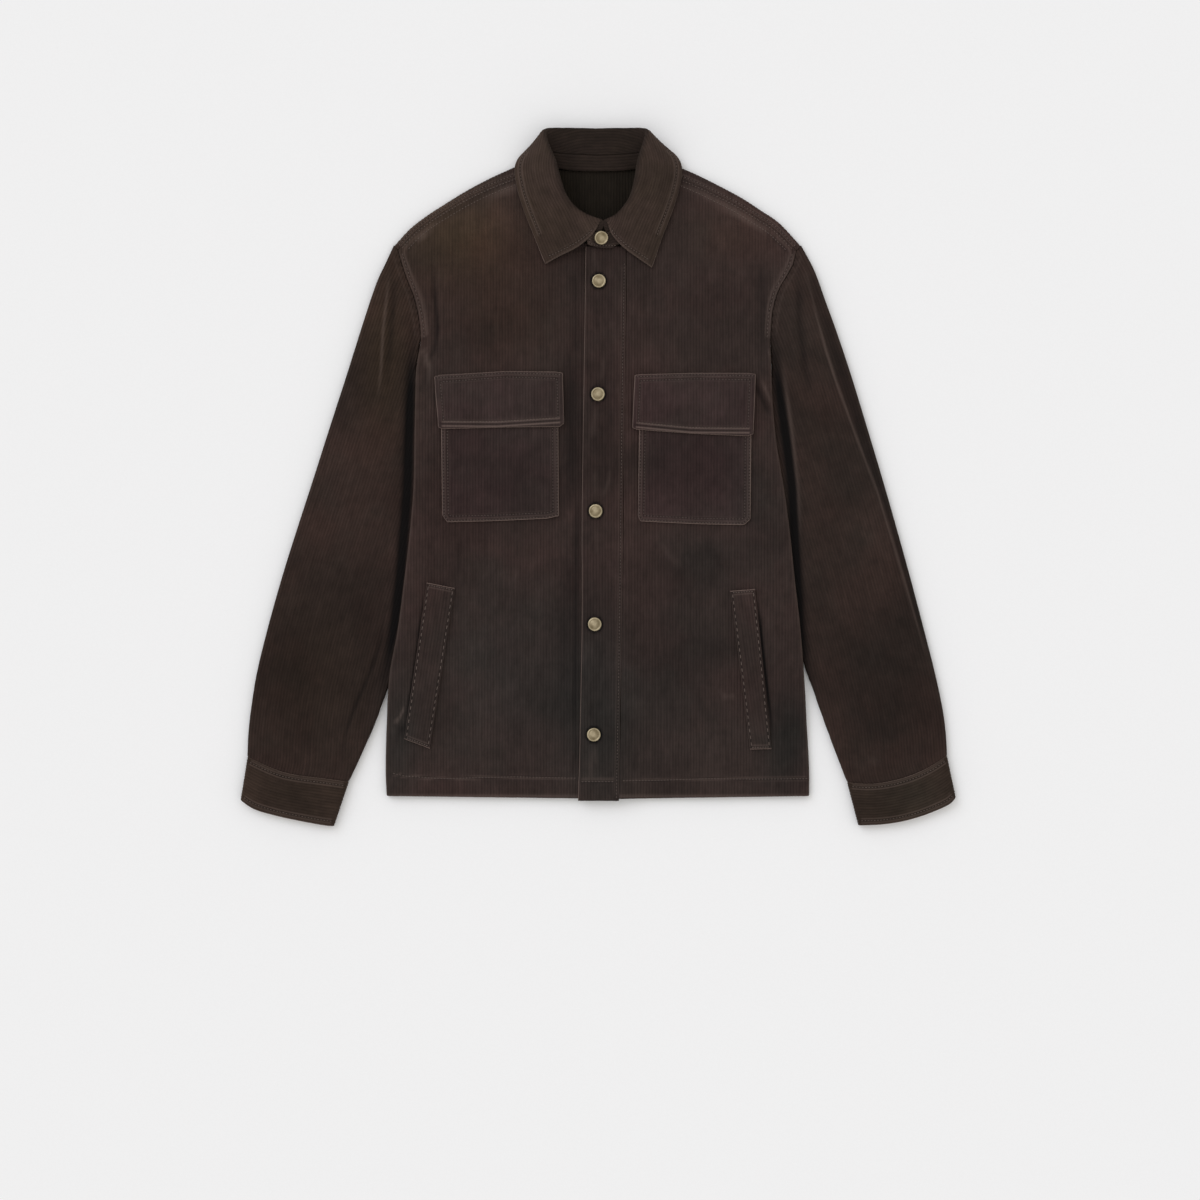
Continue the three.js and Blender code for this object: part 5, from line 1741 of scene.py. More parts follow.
@dataclass
class Panel(Piece):
    """A flat piece on a front: a pocket, a flap or a welt.

    Attributes:
        outline: its bottom and top lines.
        cloth: its thickness.
        fine: how far apart its columns are.
        rims: the sides whose rims are drawn light, as rubbed nap and painted highlight.
    """

    outline: tuple[Path, Path] = ((), ())
    cloth: float = 2.0
    fine: float = 0.85
    rims: str = "btlr"

    def under(self, x: Array, y: Array) -> Array:
        """Its underside."""
        return FRONT_TOP[self.side](x, y) + LAY_GAP

    def plan(self) -> Array:
        """Its grid in plan, with close stops at its edges.

        Returns:
            Rows x columns x 2.
        """
        bottom, top = (np.asarray(line, float) for line in self.outline)
        way = run_of((bottom + top) / 2)
        tall = float(np.linalg.norm(top.mean(0) - bottom.mean(0)))
        stops = edged(round(way[-1] / self.fine), way[-1])
        u = np.interp(stops * way[-1], way, np.linspace(0, 1, len(way)))
        v = edged(round(tall / self.fine), tall)
        low, high = bent(bottom)(u)[None], bent(top)(u)[None]
        return low * (1 - v)[:, None, None] + high * v[:, None, None]

    def corners(self) -> Array:
        """The outline, anticlockwise."""
        bottom, top = self.outline
        return np.array([*bottom, *top[::-1]], float)

    def band(self, x: Array, y: Array) -> Array:
        """The rim's swell outside its topstitching."""
        ring = self.corners()
        distance, _, _ = nearest([*ring, ring[0]], x, y)
        return 0.35 * np.exp(-((distance - 3.0) / 2.2) ** 2)

    def shell(self) -> Shell:
        """The panel over what it lies on.

        Returns:
            The shell.
        """
        plan = self.plan()
        x, y = plan[..., 0], plan[..., 1]
        low = self.under(x, y)
        return Shell(raised(plan, low + self.cloth + self.band(x, y)), raised(plan, low), self.grain(plan),
                     highlight_and_wear_sides=self.rims)

    def grain(self, plan: Array) -> Array:
        """Ribs straight up the garment."""
        return plan


@dataclass
class ChestPocket(Panel):
    """A patch pocket."""

    finish: str = "pocket"
    slot: str = "corduroy_pocket"
    flat: Pair = (0.127, 0.147)
    cloth: float = POCKET_CLOTH
    rims: str = "blr"

    def seams(self) -> list[Seam]:
        """Edge and inner rows down the sides and along the bottom.

        Returns:
            The rows of stitches.
        """
        found = []
        for distance, depth in ((1.6, 0.25), (6.2, 0.5)):
            ring = inset(self.corners(), distance)
            path = [[ring[9][0], 92], *ring[:5], [ring[5][0], 92]]
            found.append(Seam(path, pitch=3.4, length=2.2, depth=depth, width=0.8,
                              pucker=0.1, rubbed=0.16 if distance < 3 else 0.05))
        return found


@dataclass
class ChestFlap(Panel):
    """The flap over a chest pocket."""

    finish: str = "pocket"
    slot: str = "corduroy_pocket"
    flat: Pair = (0.136, 0.067)
    cloth: float = FLAP_CLOTH

    def under(self, x: Array, y: Array) -> Array:
        """Its underside, raised by the pocket below."""
        step = POCKET_CLOTH + SEAM_GAP
        return super().under(x, y) + step * (1 - smooth(POCKET_TOP_Y + 1, POCKET_TOP_Y + 16, y))

    def seams(self) -> list[Seam]:
        """A row inside all four sides, one at the upper rim, and the pressed fold along the lower one.

        Returns:
            The rows of stitches.
        """
        outline = self.corners()[[0, 2, 4, 5, 7, 9]]
        ring, fold, upper = (inset(outline, distance) for distance in (6.2, 3.3, 1.7))
        return [
            Seam([*ring, ring[0]], pitch=3.4, length=2.3, depth=0.55, width=0.9, puff=0.22, rubbed=0.06),
            Seam(fold[:3], pitch=400.0, length=0.1, depth=0.35, width=1.2, rubbed=0.4),
            Seam(upper[3:6], pitch=3.4, length=2.3, depth=0.35, width=0.8),
        ]


@dataclass
class HipWelt(Panel):
    """The welt of a slanted hip pocket."""

    slot: str = "corduroy_pocket"
    flat: Pair = (0.029, 0.177)
    cloth: float = WELT_CLOTH
    rims: str = "bt"

    def grain(self, plan: Array) -> Array:
        """Ribs along the welt."""
        across = np.linalg.norm(plan - plan[:, :1], axis=-1)
        along = np.linalg.norm(plan - plan[:1], axis=-1)
        return np.stack([across, along], -1)

    def seams(self) -> list[Seam]:
        """Long stitches down both edges and rows across the ends.

        Returns:
            The rows of stitches.
        """
        ring = inset(self.corners(), 2.0)
        low_outer, low_inner, high_inner, high_outer = ring
        long = {"pitch": 7.2, "length": 4.8, "depth": 0.5, "width": 0.9, "pucker": 0.12, "puff": 0.08,
                "rubbed": 0.03, "dark": 0.5, "thread": 0.5}
        return [
            Seam([low_outer, high_outer], **long),
            Seam([low_inner, high_inner], **long),
            Seam([low_outer, low_inner], pitch=2.6, length=2.1, depth=0.3, thread=0.42),
            Seam([high_outer, high_inner], pitch=2.6, length=2.1, depth=0.3, thread=0.42),
        ]


def tube_stops(count: int, width: Array) -> tuple[Array, Array]:
    """Places round a flattened tube, over the top and back along the underside.

    Args:
        count: how many are over the top.
        width: rings x 1, the tube's width at each ring.

    Returns:
        The distance from the outer edge, rings x places, and whether each place is on top.
    """
    turn = SLEEVE_ROUND * (1 - np.cos(np.linspace(0, math.pi / 2, TURN_STOPS + 1)))[:-1]
    over = np.concatenate([
        np.broadcast_to(turn, (len(width), TURN_STOPS)),
        SLEEVE_ROUND + np.linspace(0, 1, count - 2 * TURN_STOPS) * (width - 2 * SLEEVE_ROUND),
        width - turn[::-1],
    ], 1)
    above = np.array([True] * count + [False] * (count - 2))
    return np.concatenate([over, over[:, -2:0:-1]], 1), above


def flat_tube(plan: Surface, s: Array, count: int, height_at: Height, cloth: float) -> tuple[Array, ...]:
    """The two sides of a flattened tube.

    Args:
        plan: plan points for shares along and across.
        s: rings, shares of the length.
        count: places over the top of a ring.
        height_at: heights for shares along and across, and plan points.
        cloth: thickness.

    Returns:
        Outer and inner grids, shares across, distances from the outer edge and whether on top.
    """
    s = s[:, None]
    width = np.linalg.norm(plan(s, np.zeros_like(s)) - plan(s, np.ones_like(s)), axis=-1)
    across, above = tube_stops(count, width)
    t = across / width
    s = np.broadcast_to(s, t.shape)
    spot = plan(s, t)
    height = height_at(s, t, spot[..., 0], spot[..., 1])
    near = np.minimum(across, width - across)
    turn = np.clip(near / SLEEVE_ROUND, 0, 1)
    round_ = np.sqrt(np.maximum(0, 1 - (1 - turn) ** 2))
    half = np.minimum(height, SLEEVE_HEIGHT) / 2
    outer = raised(spot, np.where(above, half + (height - half) * round_, half - half * round_))
    within = plan(s, (t * (width - 2 * cloth) + cloth) / width)
    inner = raised(within, half + np.where(above, height - cloth - half, -(half - cloth)) * turn)
    return outer, inner, t, across, above


@dataclass
class Sleeve(Piece):
    """A sleeve, tucked under the body's side.

    Attributes:
        over: stops over the top of a ring.
        dense: the share of its length with dense rings, how many those are, and how many the rest has.
    """

    finish: str = "sleeve"
    slot: str = "corduroy_sleeve"
    flat: Pair = (0.30, 0.62)
    area: float | None = 0.13
    rests_on: Names = ("ground",)
    over: int = 141
    dense: tuple[float, int, int] = (0.3, 77, 73)

    def plan(self) -> Surface:
        """Plan points for shares along the sleeve and across it.

        Returns:
            A function of both shares.
        """
        rows, sign = SLEEVE[self.side], self.side.value
        columns = [column(rows[:, k]) for k in range(4)]
        line = armhole_points(self.side, SEAM_GAP)[::-1][:-1]
        first = rows[0, :2], rows[0, 2:4]
        last = rows[-1, :2], rows[-1, 2:4]
        armhole = through([first[0], *[[x + sign * 1.3, y] for x, y in line], first[1]])
        cuff = through(CUFF_SEAM[self.side])

        def at(s: Array, t: Array) -> Array:
            """Plan points."""
            s, t = np.broadcast_arrays(np.asarray(s, float), np.asarray(t, float))
            outer = np.stack([columns[0](s), columns[1](s)], -1)
            inner = np.stack([columns[2](s), columns[3](s)], -1)
            share = t[..., None]
            chord = outer + (inner - outer) * share
            top = armhole(t) - (first[0] + (first[1] - first[0]) * share)
            end = cuff(t) - (last[0] + (last[1] - last[0]) * share)
            return chord + top * (1 - smooth(0, 0.2, s))[..., None] + end * smooth(0.86, 1, s)[..., None]

        return at

    def height(self, s: Array, t: Array, x: Array, y: Array) -> Array:
        """Upper side of the sleeve.

        Args:
            s: shares along.
            t: shares across.
            x: X of the points.
            y: their Y.

        Returns:
            The height at each point.
        """
        inner = column(SLEEVE[self.side][:, 4])
        full = ARMHOLE_HEIGHT + (SLEEVE_HEIGHT - ARMHOLE_HEIGHT) * smooth(0, 0.12, s)
        body = full + (inner(s) - full) * smooth(0.62, 0.86, t)
        folds = fold_height(SLEEVE_FOLDS, x, y) + ripple(x, y, 11, 0.3)
        folds = folds * smooth(0, 0.06, s) * (1 - smooth(0.96, 1, s)) * smooth(0, 0.07, t)
        slit = SIDE_SLITS[self.side]
        sunk = slit.rise * slit.profile(x, y)
        raised_height = body + folds * (1 - smooth(0.84, 0.94, t)) + sunk
        return np.maximum(raised_height, 2 * SLEEVE_CLOTH + 0.3)

    def shell(self) -> Shell:
        """The tube, with its ribs along the outer edge.

        Returns:
            The shell.
        """
        part, first, second = self.dense
        s = np.concatenate([np.linspace(0, part, first)[:-1], np.linspace(part, 1, second)])
        outer, inner, t, _, above = flat_tube(self.plan(), s, self.over, self.height, SLEEVE_CLOTH)
        outer, inner = self._with_allowance(outer, inner, t[0], above)
        x, y = outer[..., 0], outer[..., 1]
        edge = SLEEVE[self.side][:, :2]
        beyond = edge[0] + (edge[0] - edge[1]) * 6
        distance, _, way = nearest([beyond, *edge], x, y)
        grain = np.stack([np.where(above, distance, -distance), way], -1)
        worn, shade = fold_marks(SLEEVE_FOLDS, x, y)
        slit = SIDE_SLITS[self.side]
        # Painted shade in the slit beside the body's edge.
        shade = np.maximum(shade, slit.shade * np.clip(slit.profile(x, y) * 1.5, 0, 1) ** 0.8)
        return Shell(outer, inner, grain, ring=True, round_sides="t", worn=worn * above, shade=shade * above)

    def _with_allowance(self, outer: Array, inner: Array, across: Array, above: Array) -> tuple[Array, Array]:
        """Adds the seam allowance that runs in under the front's edge.

        Args:
            outer: rings x places x 3.
            inner: the same for the inside.
            across: shares across the first ring.
            above: whether each place is on top.

        Returns:
            Both grids with four more rings before the first.
        """
        first, last = SLEEVE[self.side][0, :2], SLEEVE[self.side][0, 2:4]
        chord = unit(last - first)
        towards = np.array([-chord[1], chord[0]]) * (-1 if self.side is Side.LEFT else 1)
        reach = smooth(0, 0.1, across)[:, None] * towards
        made = [[], []]
        for offset, top, low in ALLOWANCE:
            for grid, high, deep in ((0, top, low), (1, min(top - 0.1, 3.15), min(low + 0.15, 3.05))):
                ring = (outer, inner)[grid][0].copy()
                ring[:, :2] += reach * offset
                ring[:, 2] = np.where(above, high, deep)
                made[grid].append(ring)
        return np.concatenate([made[0], outer]), np.concatenate([made[1], inner])

    def seams(self) -> list[Seam]:
        """The gathered seam line at the armhole."""
        line = through(armhole_points(self.side, 0))(np.linspace(0.04, 0.96, 24)) + [self.side.value * 3.4, 0]
        return [Seam(line, pitch=4.2, length=0.1, depth=0.1, width=1.6, pucker=0.34, puff=0.05, rubbed=0.05,
                     dark=0.04)]

    def sew(self, cloth: Object, wardrobe: Wardrobe) -> list[Object]:
        """No thread shows on the sleeve's side of the armhole."""
        return []


@dataclass
class Cuff(Piece):
    """A cuff, a double band with its ribs round the wrist.

    Attributes:
        over: stops over the top of a ring.
        rings: how many rings it has.
        tuck: the share of its length that runs in at the seam.
    """

    finish: str = "cuff"
    slot: str = "corduroy_sleeve"
    flat: Pair = (0.236, 0.05)
    rests_on: Names = ("ground",)
    over: int = 101
    rings: int = 69
    tuck: float = 0.02

    def shell(self) -> Shell:
        """The tube from the cuff's seam to its end.

        Returns:
            The shell.
        """
        seam, end = through(CUFF_SEAM[self.side]), through(CUFF_END[self.side])

        def plan(s: Array, t: Array) -> Array:
            """Plan points."""
            s, t = np.broadcast_arrays(np.asarray(s, float), np.asarray(t, float))
            return seam(t) + (end(t) - seam(t)) * s[..., None]

        def height(s: Array, t: Array, x: Array, y: Array) -> Array:
            """Upper side, with a faint swell."""
            swell = 0.5 * np.sin(np.pi * np.clip(s, 0, 1)) + ripple(x, y, 23, 0.25)
            full = SLEEVE_HEIGHT + (CUFF_HEIGHT - SLEEVE_HEIGHT) * smooth(0, 0.1, s)
            return full + swell * smooth(0, 0.1, t)

        s = -self.tuck + (1 + self.tuck) * edged(self.rings, CUFF_LENGTH)
        outer, inner, _, across, above = flat_tube(plan, s, self.over, height, CUFF_CLOTH)
        length = CUFF_LENGTH * s[:, None] + 0 * across
        grain = np.stack([length, np.where(above, across, -across)], -1)
        return Shell(outer, inner, grain, ring=True, round_sides="bt", highlight_and_wear_sides="bt")

    def seams(self) -> list[Seam]:
        """Rows beside the seam and the end."""
        seam, end = through(CUFF_SEAM[self.side]), through(CUFF_END[self.side])
        t = np.linspace(0.03, 0.97, 14)
        upper, lower = (seam(t) + (end(t) - seam(t)) * share for share in (0.075, 0.89))
        return [Seam(upper, pitch=3.4, depth=0.5, pucker=0.15), Seam(lower, pitch=3.4, depth=0.35)]


def collar_sections(t: Array, sign: float) -> dict[str, Array]:
    """The collar's sections at shares from the middle of the back to the front, on one side.

    Args:
        t: shares of the way.
        sign: -1 on the wearer's right and 1 on the left.

    Returns:
        Neck seam, roll, outer edge and the join of stand and leaf, by name.
    """
    *spots, share, off = (column(values)(t) for values in COLLAR.T)

    def place(first: int, offset: Array) -> Array:
        """A point of every section."""
        x, y, z = spots[first:first + 3]
        return np.stack([x * sign + offset, y, z], -1)

    seam = place(0, off * smooth(0.7, 1, t))
    roll, edge = place(3, off), place(6, 0 * t)
    edge[:, 1] -= LEFT_TIP_DROP * smooth(0.75, 1, t) * (sign > 0)
    under = fold_frame(seam, roll, edge)[2]
    return {"seam": seam, "roll": roll, "edge": edge, "join": seam + (under - seam) * share[:, None]}


def fold_frame(join: Array, roll: Array, edge: Array) -> tuple[Array, Array, Array, Array]:
    """The fold's directions up and across, and the points under the roll on both sides.

    Args:
        join: where stand and leaf meet.
        roll: the top of the fold.
        edge: the outer edge.

    Returns:
        Up, across, the inner point and the outer one.
    """
    inner, outer = unit(join - roll), unit(edge - roll)
    across, up = unit(outer - inner), -unit(outer + inner)
    low = roll - up * ROLL_FOLD / 2
    return up, across, low - across * ROLL_FOLD / 2, low + across * ROLL_FOLD / 2


def both_halves(count: int) -> dict[str, Array]:
    """All the collar's sections from the right front round to the left."""
    half = np.linspace(0, 1, count + 1)
    right, left = collar_sections(half[1:][::-1], -1), collar_sections(half, 1)
    return {name: np.concatenate([right[name], left[name]]) for name in right}


@dataclass
class CollarLeaf(Piece):
    """The turned-down part of the collar, over its roll.

    Attributes:
        sections: rows in each half.
        samples: stops over the roll and down the leaf.
        bow: power that sets where the leaf swings out most.
    """

    node: str = "collar_leaf"
    finish: str = "collar"
    slot: str = "corduroy_collar"
    flat: Pair = (0.43, 0.075)
    area: float | None = 0.0265
    held: str = "folded"
    rests_on: Names = ("collar_stand", "front_right", "front_left")
    sections: int = 100
    samples: int = 129
    bow: float = 0.72

    def shell(self) -> Shell:
        """The wall over the roll, a row for each section.

        Returns:
            The shell.
        """
        found = both_halves(self.sections)
        join, roll, edge = found["join"], found["roll"], found["edge"]
        up, across, under, over = fold_frame(join, roll, edge)
        start = join + unit(under - join) * COLLAR_GAP / 2
        full = self.bulge(roll, edge)

        def fall(share: float) -> Array:
            """A point down the leaf."""
            round_ = full * math.sin(math.pi * share ** self.bow)
            return over + (edge - over) * share + across * LEAF_BULGE * share * (1 - share) + round_

        points = np.stack([start, under, roll, over, *map(fall, (0.15, 0.3, 0.46, 0.62, 0.82)), edge], 1)
        tangent = unit(np.concatenate([points[:, 1:2] - points[:, :1], points[:, 2:] - points[:, :-2],
                                       points[:, -1:] - points[:, -2:-1]], 1))
        rise = (tangent * up[:, None]).sum(-1, keepdims=True)
        run = (tangent * across[:, None]).sum(-1, keepdims=True)
        facing = unit(up[:, None] * run - across[:, None] * rise)
        line = resample(points, self.samples)
        facing = unit(resample(facing, self.samples))
        soft = ripple(line[..., 0], line[..., 1], 31, 0.35)[..., None]
        line = line + facing * soft * smooth(0.45, 0.6, np.linspace(0, 1, self.samples))[None, :, None]
        outer, inner = line + facing * COLLAR_CLOTH / 2, line - facing * COLLAR_CLOTH / 2
        return Shell(outer, inner, self._grain(outer), round_sides="btr", highlight_and_wear_sides="btr")

    @staticmethod
    def bulge(roll: Array, edge: Array) -> Array:
        """How far each section swings out towards the placket halfway down: the rounded front edges.

        Args:
            roll: the top of the fold at each section.
            edge: its outer edge.

        Returns:
            A step for each section.
        """
        t = np.linspace(-1, 1, len(roll))
        chord = unit((edge - roll) * [1, 1, 0])
        side = np.sign(t)[:, None] * np.stack([chord[:, 1], -chord[:, 0], 0 * t], -1)
        return side * (COLLAR_SWING * smooth(0.76, 1, np.abs(t)))[:, None]

    def finish_marks(self, shell: Shell) -> None:
        """Paints shade on the side that faces the neck, and leaves the front rims less rubbed and less
        highlighted than the outer one.
        """
        place = np.linspace(0, 1, self.samples)[None]
        shell.worn = shell.worn * smooth(0.36, 0.44, place)
        ends = np.abs(np.linspace(-1, 1, len(shell.worn)))[:, None]
        shell.worn = shell.worn * (1 - 0.8 * smooth(0.975, 0.985, ends))
        shell.shade = np.maximum(shell.shade, 0.5 * (1 - smooth(0.2, 0.36, place)))

    @staticmethod
    def _grain(outer: Array) -> Array:
        """Ribs along the leaf's long edge, and on over the roll.

        Args:
            outer: the leaf's upper side.

        Returns:
            Across the ribs and along them.
        """
        edge = outer[:, -1]
        steps = np.linalg.norm(np.diff(outer, axis=1), axis=-1)
        down = np.concatenate([np.cumsum(steps[:, ::-1], axis=1)[:, ::-1], np.zeros((len(edge), 1))], 1)
        slant = np.linalg.norm(np.cross(unit(outer[:, -30] - edge), unit(np.gradient(edge, axis=0))), axis=-1)
        spread = np.convolve(np.pad(slant, 6, mode="edge"), np.ones(13) / 13, mode="valid")
        return np.stack([down * spread[:, None], 0 * down + run_of(edge)[:, None]], -1)

    def seams(self) -> list[Seam]:
        """Topstitching along the outer and front edges.

        Returns:
            The rows of stitches.
        """
        found = both_halves(40)
        edge, over = found["edge"], found["roll"]
        down = unit(over - edge)
        row = (edge + down * 6.5)[8:-8, :2]
        fronts = []
        for end, step in ((0, 1), (-1, -1)):
            tip, top = edge[end], over[end]
            beside = unit(edge[end + step * 3] - edge[end])
            swing = self.bulge(over, edge)[end]
            share = np.linspace(0.2, 0.92, 8)[:, None]
            line = top + (tip - top) * share + beside * 6 + swing * np.sin(math.pi * share ** self.bow)
            fronts.append(Seam(line[:, :2], pitch=3.4, depth=0.35, rubbed=0.05, dark=0.2))
        half = len(row) // 2
        return [*(Seam(part, pitch=3.4, depth=0.45) for part in (row[:half - 12], row[half + 12:])), *fronts]


@dataclass
class CollarStand(Piece):
    """The upright band of the collar and its tab over the placket.

    Attributes:
        sections: rows in each half.
        stops: stops up the band, and the height they are set for.
    """

    node: str = "collar_stand"
    finish: str = "collar"
    slot: str = "corduroy_collar"
    flat: Pair = (0.42, 0.024)
    area: float | None = 0.0066
    held: str = "folded"
    rests_on: Names = ("front_right", "front_left", "back")
    sections: int = 110
    stops: tuple[int, float] = (33, 16.0)

    def shell(self) -> Shell:
        """The band from the right front round the neck to the tab.

        Returns:
            The shell.
        """
        found = both_halves(self.sections)
        seam, join = found["seam"], found["join"]
        slope = (join[-1, 2] - seam[-1, 2]) / (join[-1, 1] - seam[-1, 1])
        share = 1 - (1 - np.linspace(0, 1, 33)[1:]) ** 1.4
        x = seam[-1, 0] + (TAB_END_X - seam[-1, 0]) * share
        middle, round_ = (TAB_SEAM_Y + TAB_TOP_Y) / 2, np.sqrt(1 - TAB_ROUND * share * share)

        def tab(target: float, before: float) -> Array:
            """One edge of the tab, eased on from the band."""
            y = middle + (target - middle) * round_
            y = y + (before - target) * (1 - smooth(0, 0.45, share))
            return np.stack([x, y, seam[-1, 2] + slope * (y - seam[-1, 1])], -1)

        keep = int(np.argmax((seam[:, 0] < TAB_END_X - 4) & (seam[:, 1] < 300)))
        seam = np.concatenate([seam[max(keep, 12):], tab(TAB_SEAM_Y, seam[-1, 1])])
        join = np.concatenate([join[max(keep, 12):], tab(TAB_TOP_Y, join[-1, 1])])
        extra = (len(seam) - 1) % INNER_STEP
        seam, join = seam[extra:], join[extra:]
        along = unit(join - seam)
        facing = unit(np.cross(along, np.gradient(seam, axis=0)))
        end = join - along * COLLAR_GAP / 2
        line = seam[:, None] + (end - seam)[:, None] * edged(*self.stops)[None, :, None]
        outer = line + facing[:, None] * COLLAR_CLOTH / 2
        inner = line - facing[:, None] * COLLAR_CLOTH / 2
        up = np.linalg.norm(line - line[:, :1], axis=-1)
        grain = np.stack([up, up * 0 + run_of(seam)[:, None]], -1)
        # Painted shade on the band inside the neck, fading out along the tab.
        inside = 0.45 * (1 - smooth(0.93, 1.0, np.linspace(0, 1, len(seam))))
        return Shell(outer, inner, grain, step=1, shade=0 * up + inside[:, None])

    def seams(self) -> list[Seam]:
        """A row round the tab."""
        row = [[26, 252.4], [14, 251], [2, 250.9], [-5, 251.6], [-9, 254], [-10.2, 258], [-8.6, 262.5]]
        return [Seam(through(row)(np.linspace(0, 1, 20)), pitch=3.2, length=2.1, depth=0.35, width=0.8)]


@dataclass
class Snap:
    """A pressed brass snap cap.

    Attributes:
        number: its place from the collar down.
        around: how many steps make its circle.
        profile: radius and height, from the rim to the middle.
        ring: radius and half width of the rubbed ring.
        beads: how many fine beads run round it.
        sunk: how far a tilted cap sits below its node's middle.
    """

    number: int
    around: int = 64
    profile: Path = ((7.5, 0.0), (7.6, 0.7), (7.45, 1.5), (7.0, 2.15), (6.4, 2.35), (5.85, 2.1), (5.5, 1.75),
                     (5.1, 1.68), (4.6, 1.86), (3.4, 2.2), (2.0, 2.42), (0.9, 2.5), (0.12, 2.52))
    ring: Pair = (6.6, 0.6)
    beads: int = 26
    sunk: float = 1.3

    def make(self, wardrobe: Wardrobe) -> Object:
        """Builds the cap in its node's place and tilt.

        Args:
            wardrobe: the finishes.

        Returns:
            The cap.
        """
        name = f"snap_{self.number}"
        low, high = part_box(name)
        centre = (low + high) / 2
        rings = through(self.profile)(np.linspace(0, 1, 29))
        turn = np.linspace(0, 2 * math.pi, self.around, endpoint=False)
        radius, height = rings[:, :1], rings[:, 1:]
        bead = 0.09 * np.cos(turn * self.beads) * np.exp(-((radius - 6.5) / 0.5) ** 2)
        points = np.stack([radius * np.cos(turn), radius * np.sin(turn), height + bead], -1)
        faces = quads(index_grid(len(rings), self.around, ring=True)).tolist()
        rim, top = range(self.around), range(self.around * (len(rings) - 1), self.around * len(rings))
        cap = add_mesh(name + "_cap", points * MM, [*faces, rim[::-1], top])
        rubbed = np.exp(-((radius - self.ring[0]) / self.ring[1]) ** 2) + smooth(4.6, 1.0, radius) * 0.8
        store(cap.data, "worn", rubbed + 0 * turn)
        cap.data.materials.append(wardrobe.take("brass"))
        tilt = self._tilt() if self.number == 1 else 0.0
        cap.rotation_euler = (tilt, 0.0, self.number * 0.7)
        seat = centre.z - self.sunk * MM * math.cos(tilt) if tilt else low.z
        cap.location = (centre.x, centre.y, seat)
        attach(cap, "root")
        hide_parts(name)
        return cap

    @staticmethod
    def _tilt() -> float:
        """The slope of the tab that the first cap sits on."""
        found = collar_sections(np.ones(1), 1)
        rise = found["join"][0] - found["seam"][0]
        return math.atan2(rise[2], rise[1])


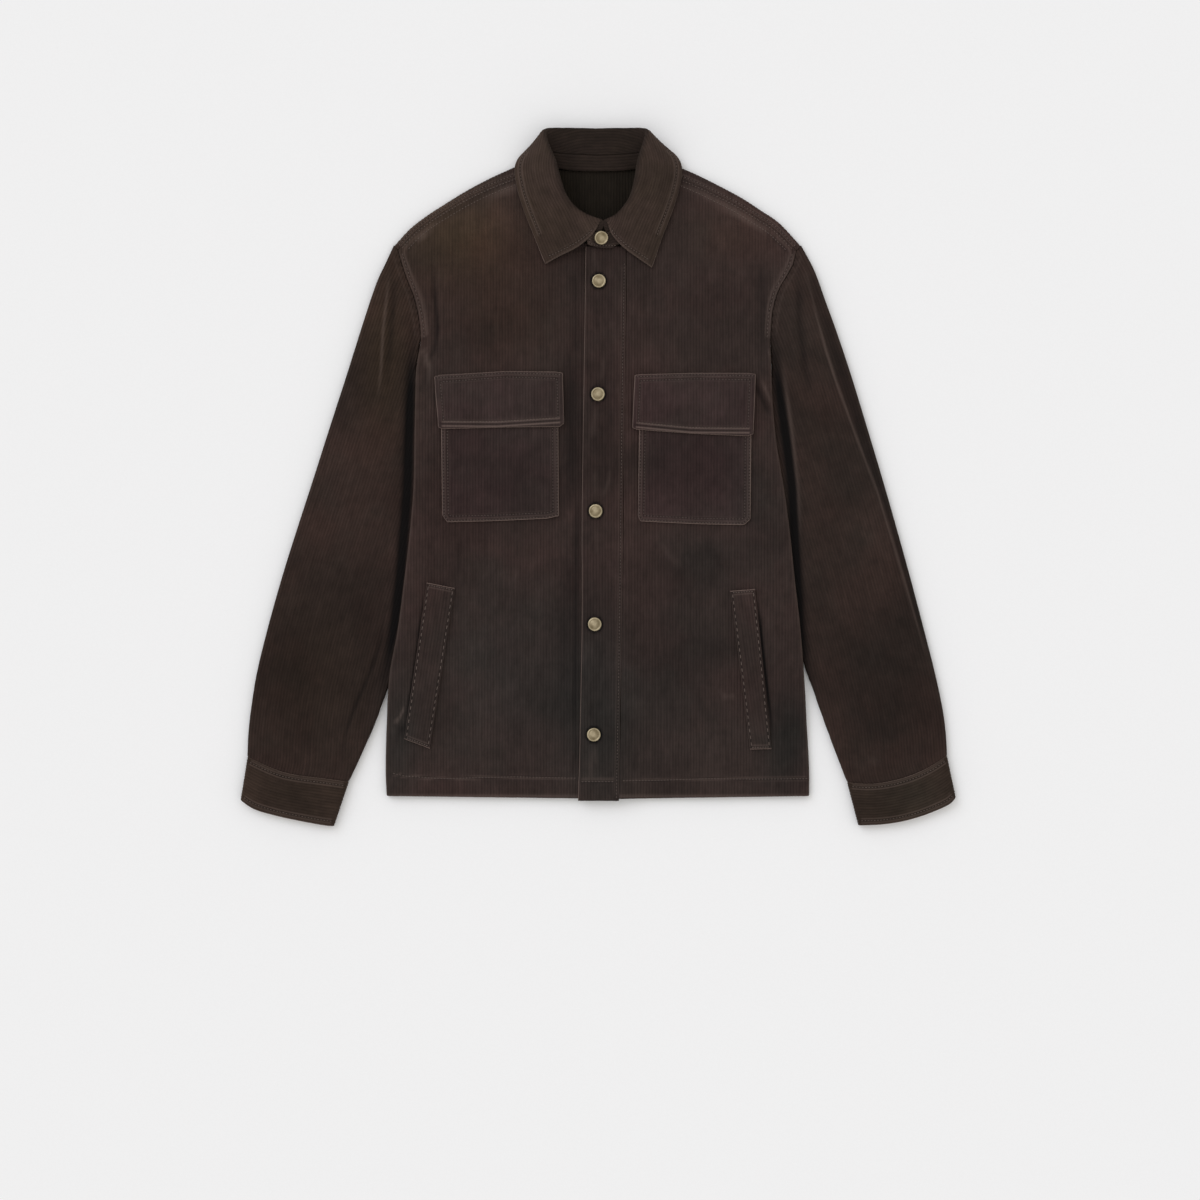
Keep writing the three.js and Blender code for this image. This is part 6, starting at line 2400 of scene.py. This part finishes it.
@dataclass
class Studio:
    """Ground, soft daylight and the camera straight above.

    Attributes:
        scale: millimetres in one step of the picture.
        steps: the picture's width in steps.
        origin: the step at which the jacket's plan starts, across and down.
        distance: the camera's height.
        sensor: width of the camera's sensor.
        sky: colour of the light from all round.
        ambient: strength of that light.
        key: power of the wide lamp.
        lamp: colour of the lamp.
        lamp_at: where it stands.
        lamp_wide: how wide it looks, in degrees.
        ground: half the width of the ground.
        ground_cells: cells along a side of the ground.
        ground_drop: how far the ground is below the jacket.
    """

    scale: float = 1.087
    steps: int = 1200
    origin: Pair = (598.4, 477.0)
    distance: float = 3.4
    sensor: float = 36.0
    sky: tuple[float, float, float, float] = (1.0, 0.988, 0.962, 1.0)
    ambient: float = 0.84
    key: float = 0.70
    lamp: tuple[float, float, float] = (0.94, 0.985, 1.09)
    lamp_at: tuple[float, float, float] = (-1.2, 1.15, 1.35)
    lamp_wide: float = 38.0
    ground: float = 5.0
    ground_cells: int = 24
    ground_drop: float = 0.0004

    def build(self, wardrobe: Wardrobe) -> None:
        """Sets the whole stage."""
        self._ground(wardrobe)
        self._light()
        self._camera()

    def _ground(self, wardrobe: Wardrobe) -> None:
        """A wide, flat, pale sheet under the jacket.

        Args:
            wardrobe: the finishes.
        """
        side = np.linspace(-self.ground, self.ground, self.ground_cells + 1)
        x, y = np.meshgrid(side, side)
        points = np.stack([x, y, np.full_like(x, -self.ground_drop)], -1)
        ground = add_mesh("ground", points, quads(index_grid(len(side), len(side))).tolist())
        ground.data.materials.append(wardrobe.take("paper"))

    def _light(self) -> None:
        """Even light from all round and a wide lamp from the upper left."""
        world = bpy.data.worlds.new("daylight")
        bpy.context.scene.world = world
        world.use_nodes = True
        sky = world.node_tree.nodes["Background"]
        sky.inputs[0].default_value = self.sky
        sky.inputs[1].default_value = self.ambient
        lamp = bpy.data.lights.new("window", "SUN")
        lamp.angle = math.radians(self.lamp_wide)
        lamp.energy = self.key
        lamp.color = self.lamp
        holder = bpy.data.objects.new("window", lamp)
        holder.location = self.lamp_at
        holder.rotation_euler = (-holder.location).to_track_quat("-Z", "Y").to_euler()
        bpy.context.scene.collection.objects.link(holder)
        bpy.context.scene.view_settings.view_transform = "Standard"
        bpy.context.scene.view_settings.look = "None"

    def _camera(self) -> None:
        """A long lens straight above, framing what the picture frames."""
        data = bpy.data.cameras.new("overhead")
        data.sensor_width = self.sensor
        data.lens = self.sensor * (self.distance - 0.01) / (self.steps * self.scale * MM)
        camera = bpy.data.objects.new("overhead", data)
        middle = self.steps / 2
        across, up = middle - self.origin[0], self.origin[1] - middle
        x, y = (np.array([across, up]) * self.scale + ORIGIN_SHIFT[:2]) * MM
        camera.location = (x, y, self.distance)
        bpy.context.scene.collection.objects.link(camera)
        bpy.context.scene.camera = camera


def pieces() -> list[Piece]:
    """Every piece of cloth in the jacket.

    Returns:
        All of them, in the order in which they are built.
    """
    made: list[Piece] = [Back(), Placket(), CollarLeaf(), CollarStand()]
    for side in Side:
        front, pocket = "front_" + side.word, "chest_pocket_" + side.word
        flat, area = FRONT_CUT[side]
        made += [
            Front(front, side=side, flat=flat, area=area),
            Yoke("yoke_" + side.word, side=side),
            Sleeve("sleeve_" + side.word, side=side),
            Cuff("cuff_" + side.word, side=side),
            ChestPocket(pocket, side=side, outline=CHEST_POCKET[side], rests_on=(front,)),
            ChestFlap("chest_flap_" + side.word, side=side, outline=CHEST_FLAP[side], rests_on=(pocket,)),
            HipWelt("hip_welt_" + side.word, side=side, outline=HIP_WELT[side], rests_on=(front,)),
        ]
    return made


def main() -> None:
    """Builds the jacket's looks, piece by piece."""
    logging.basicConfig(level=logging.INFO, format="%(name)s: %(message)s")
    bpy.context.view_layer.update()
    wardrobe = Wardrobe()
    for piece in pieces():
        piece.make(wardrobe)
    for number in range(1, len(SNAPS) + 1):
        cap = Snap(number).make(wardrobe)
        log.info("%s: %d faces", cap.name, len(cap.data.polygons))
    Studio().build(wardrobe)


if __name__ == "__main__":
    main()
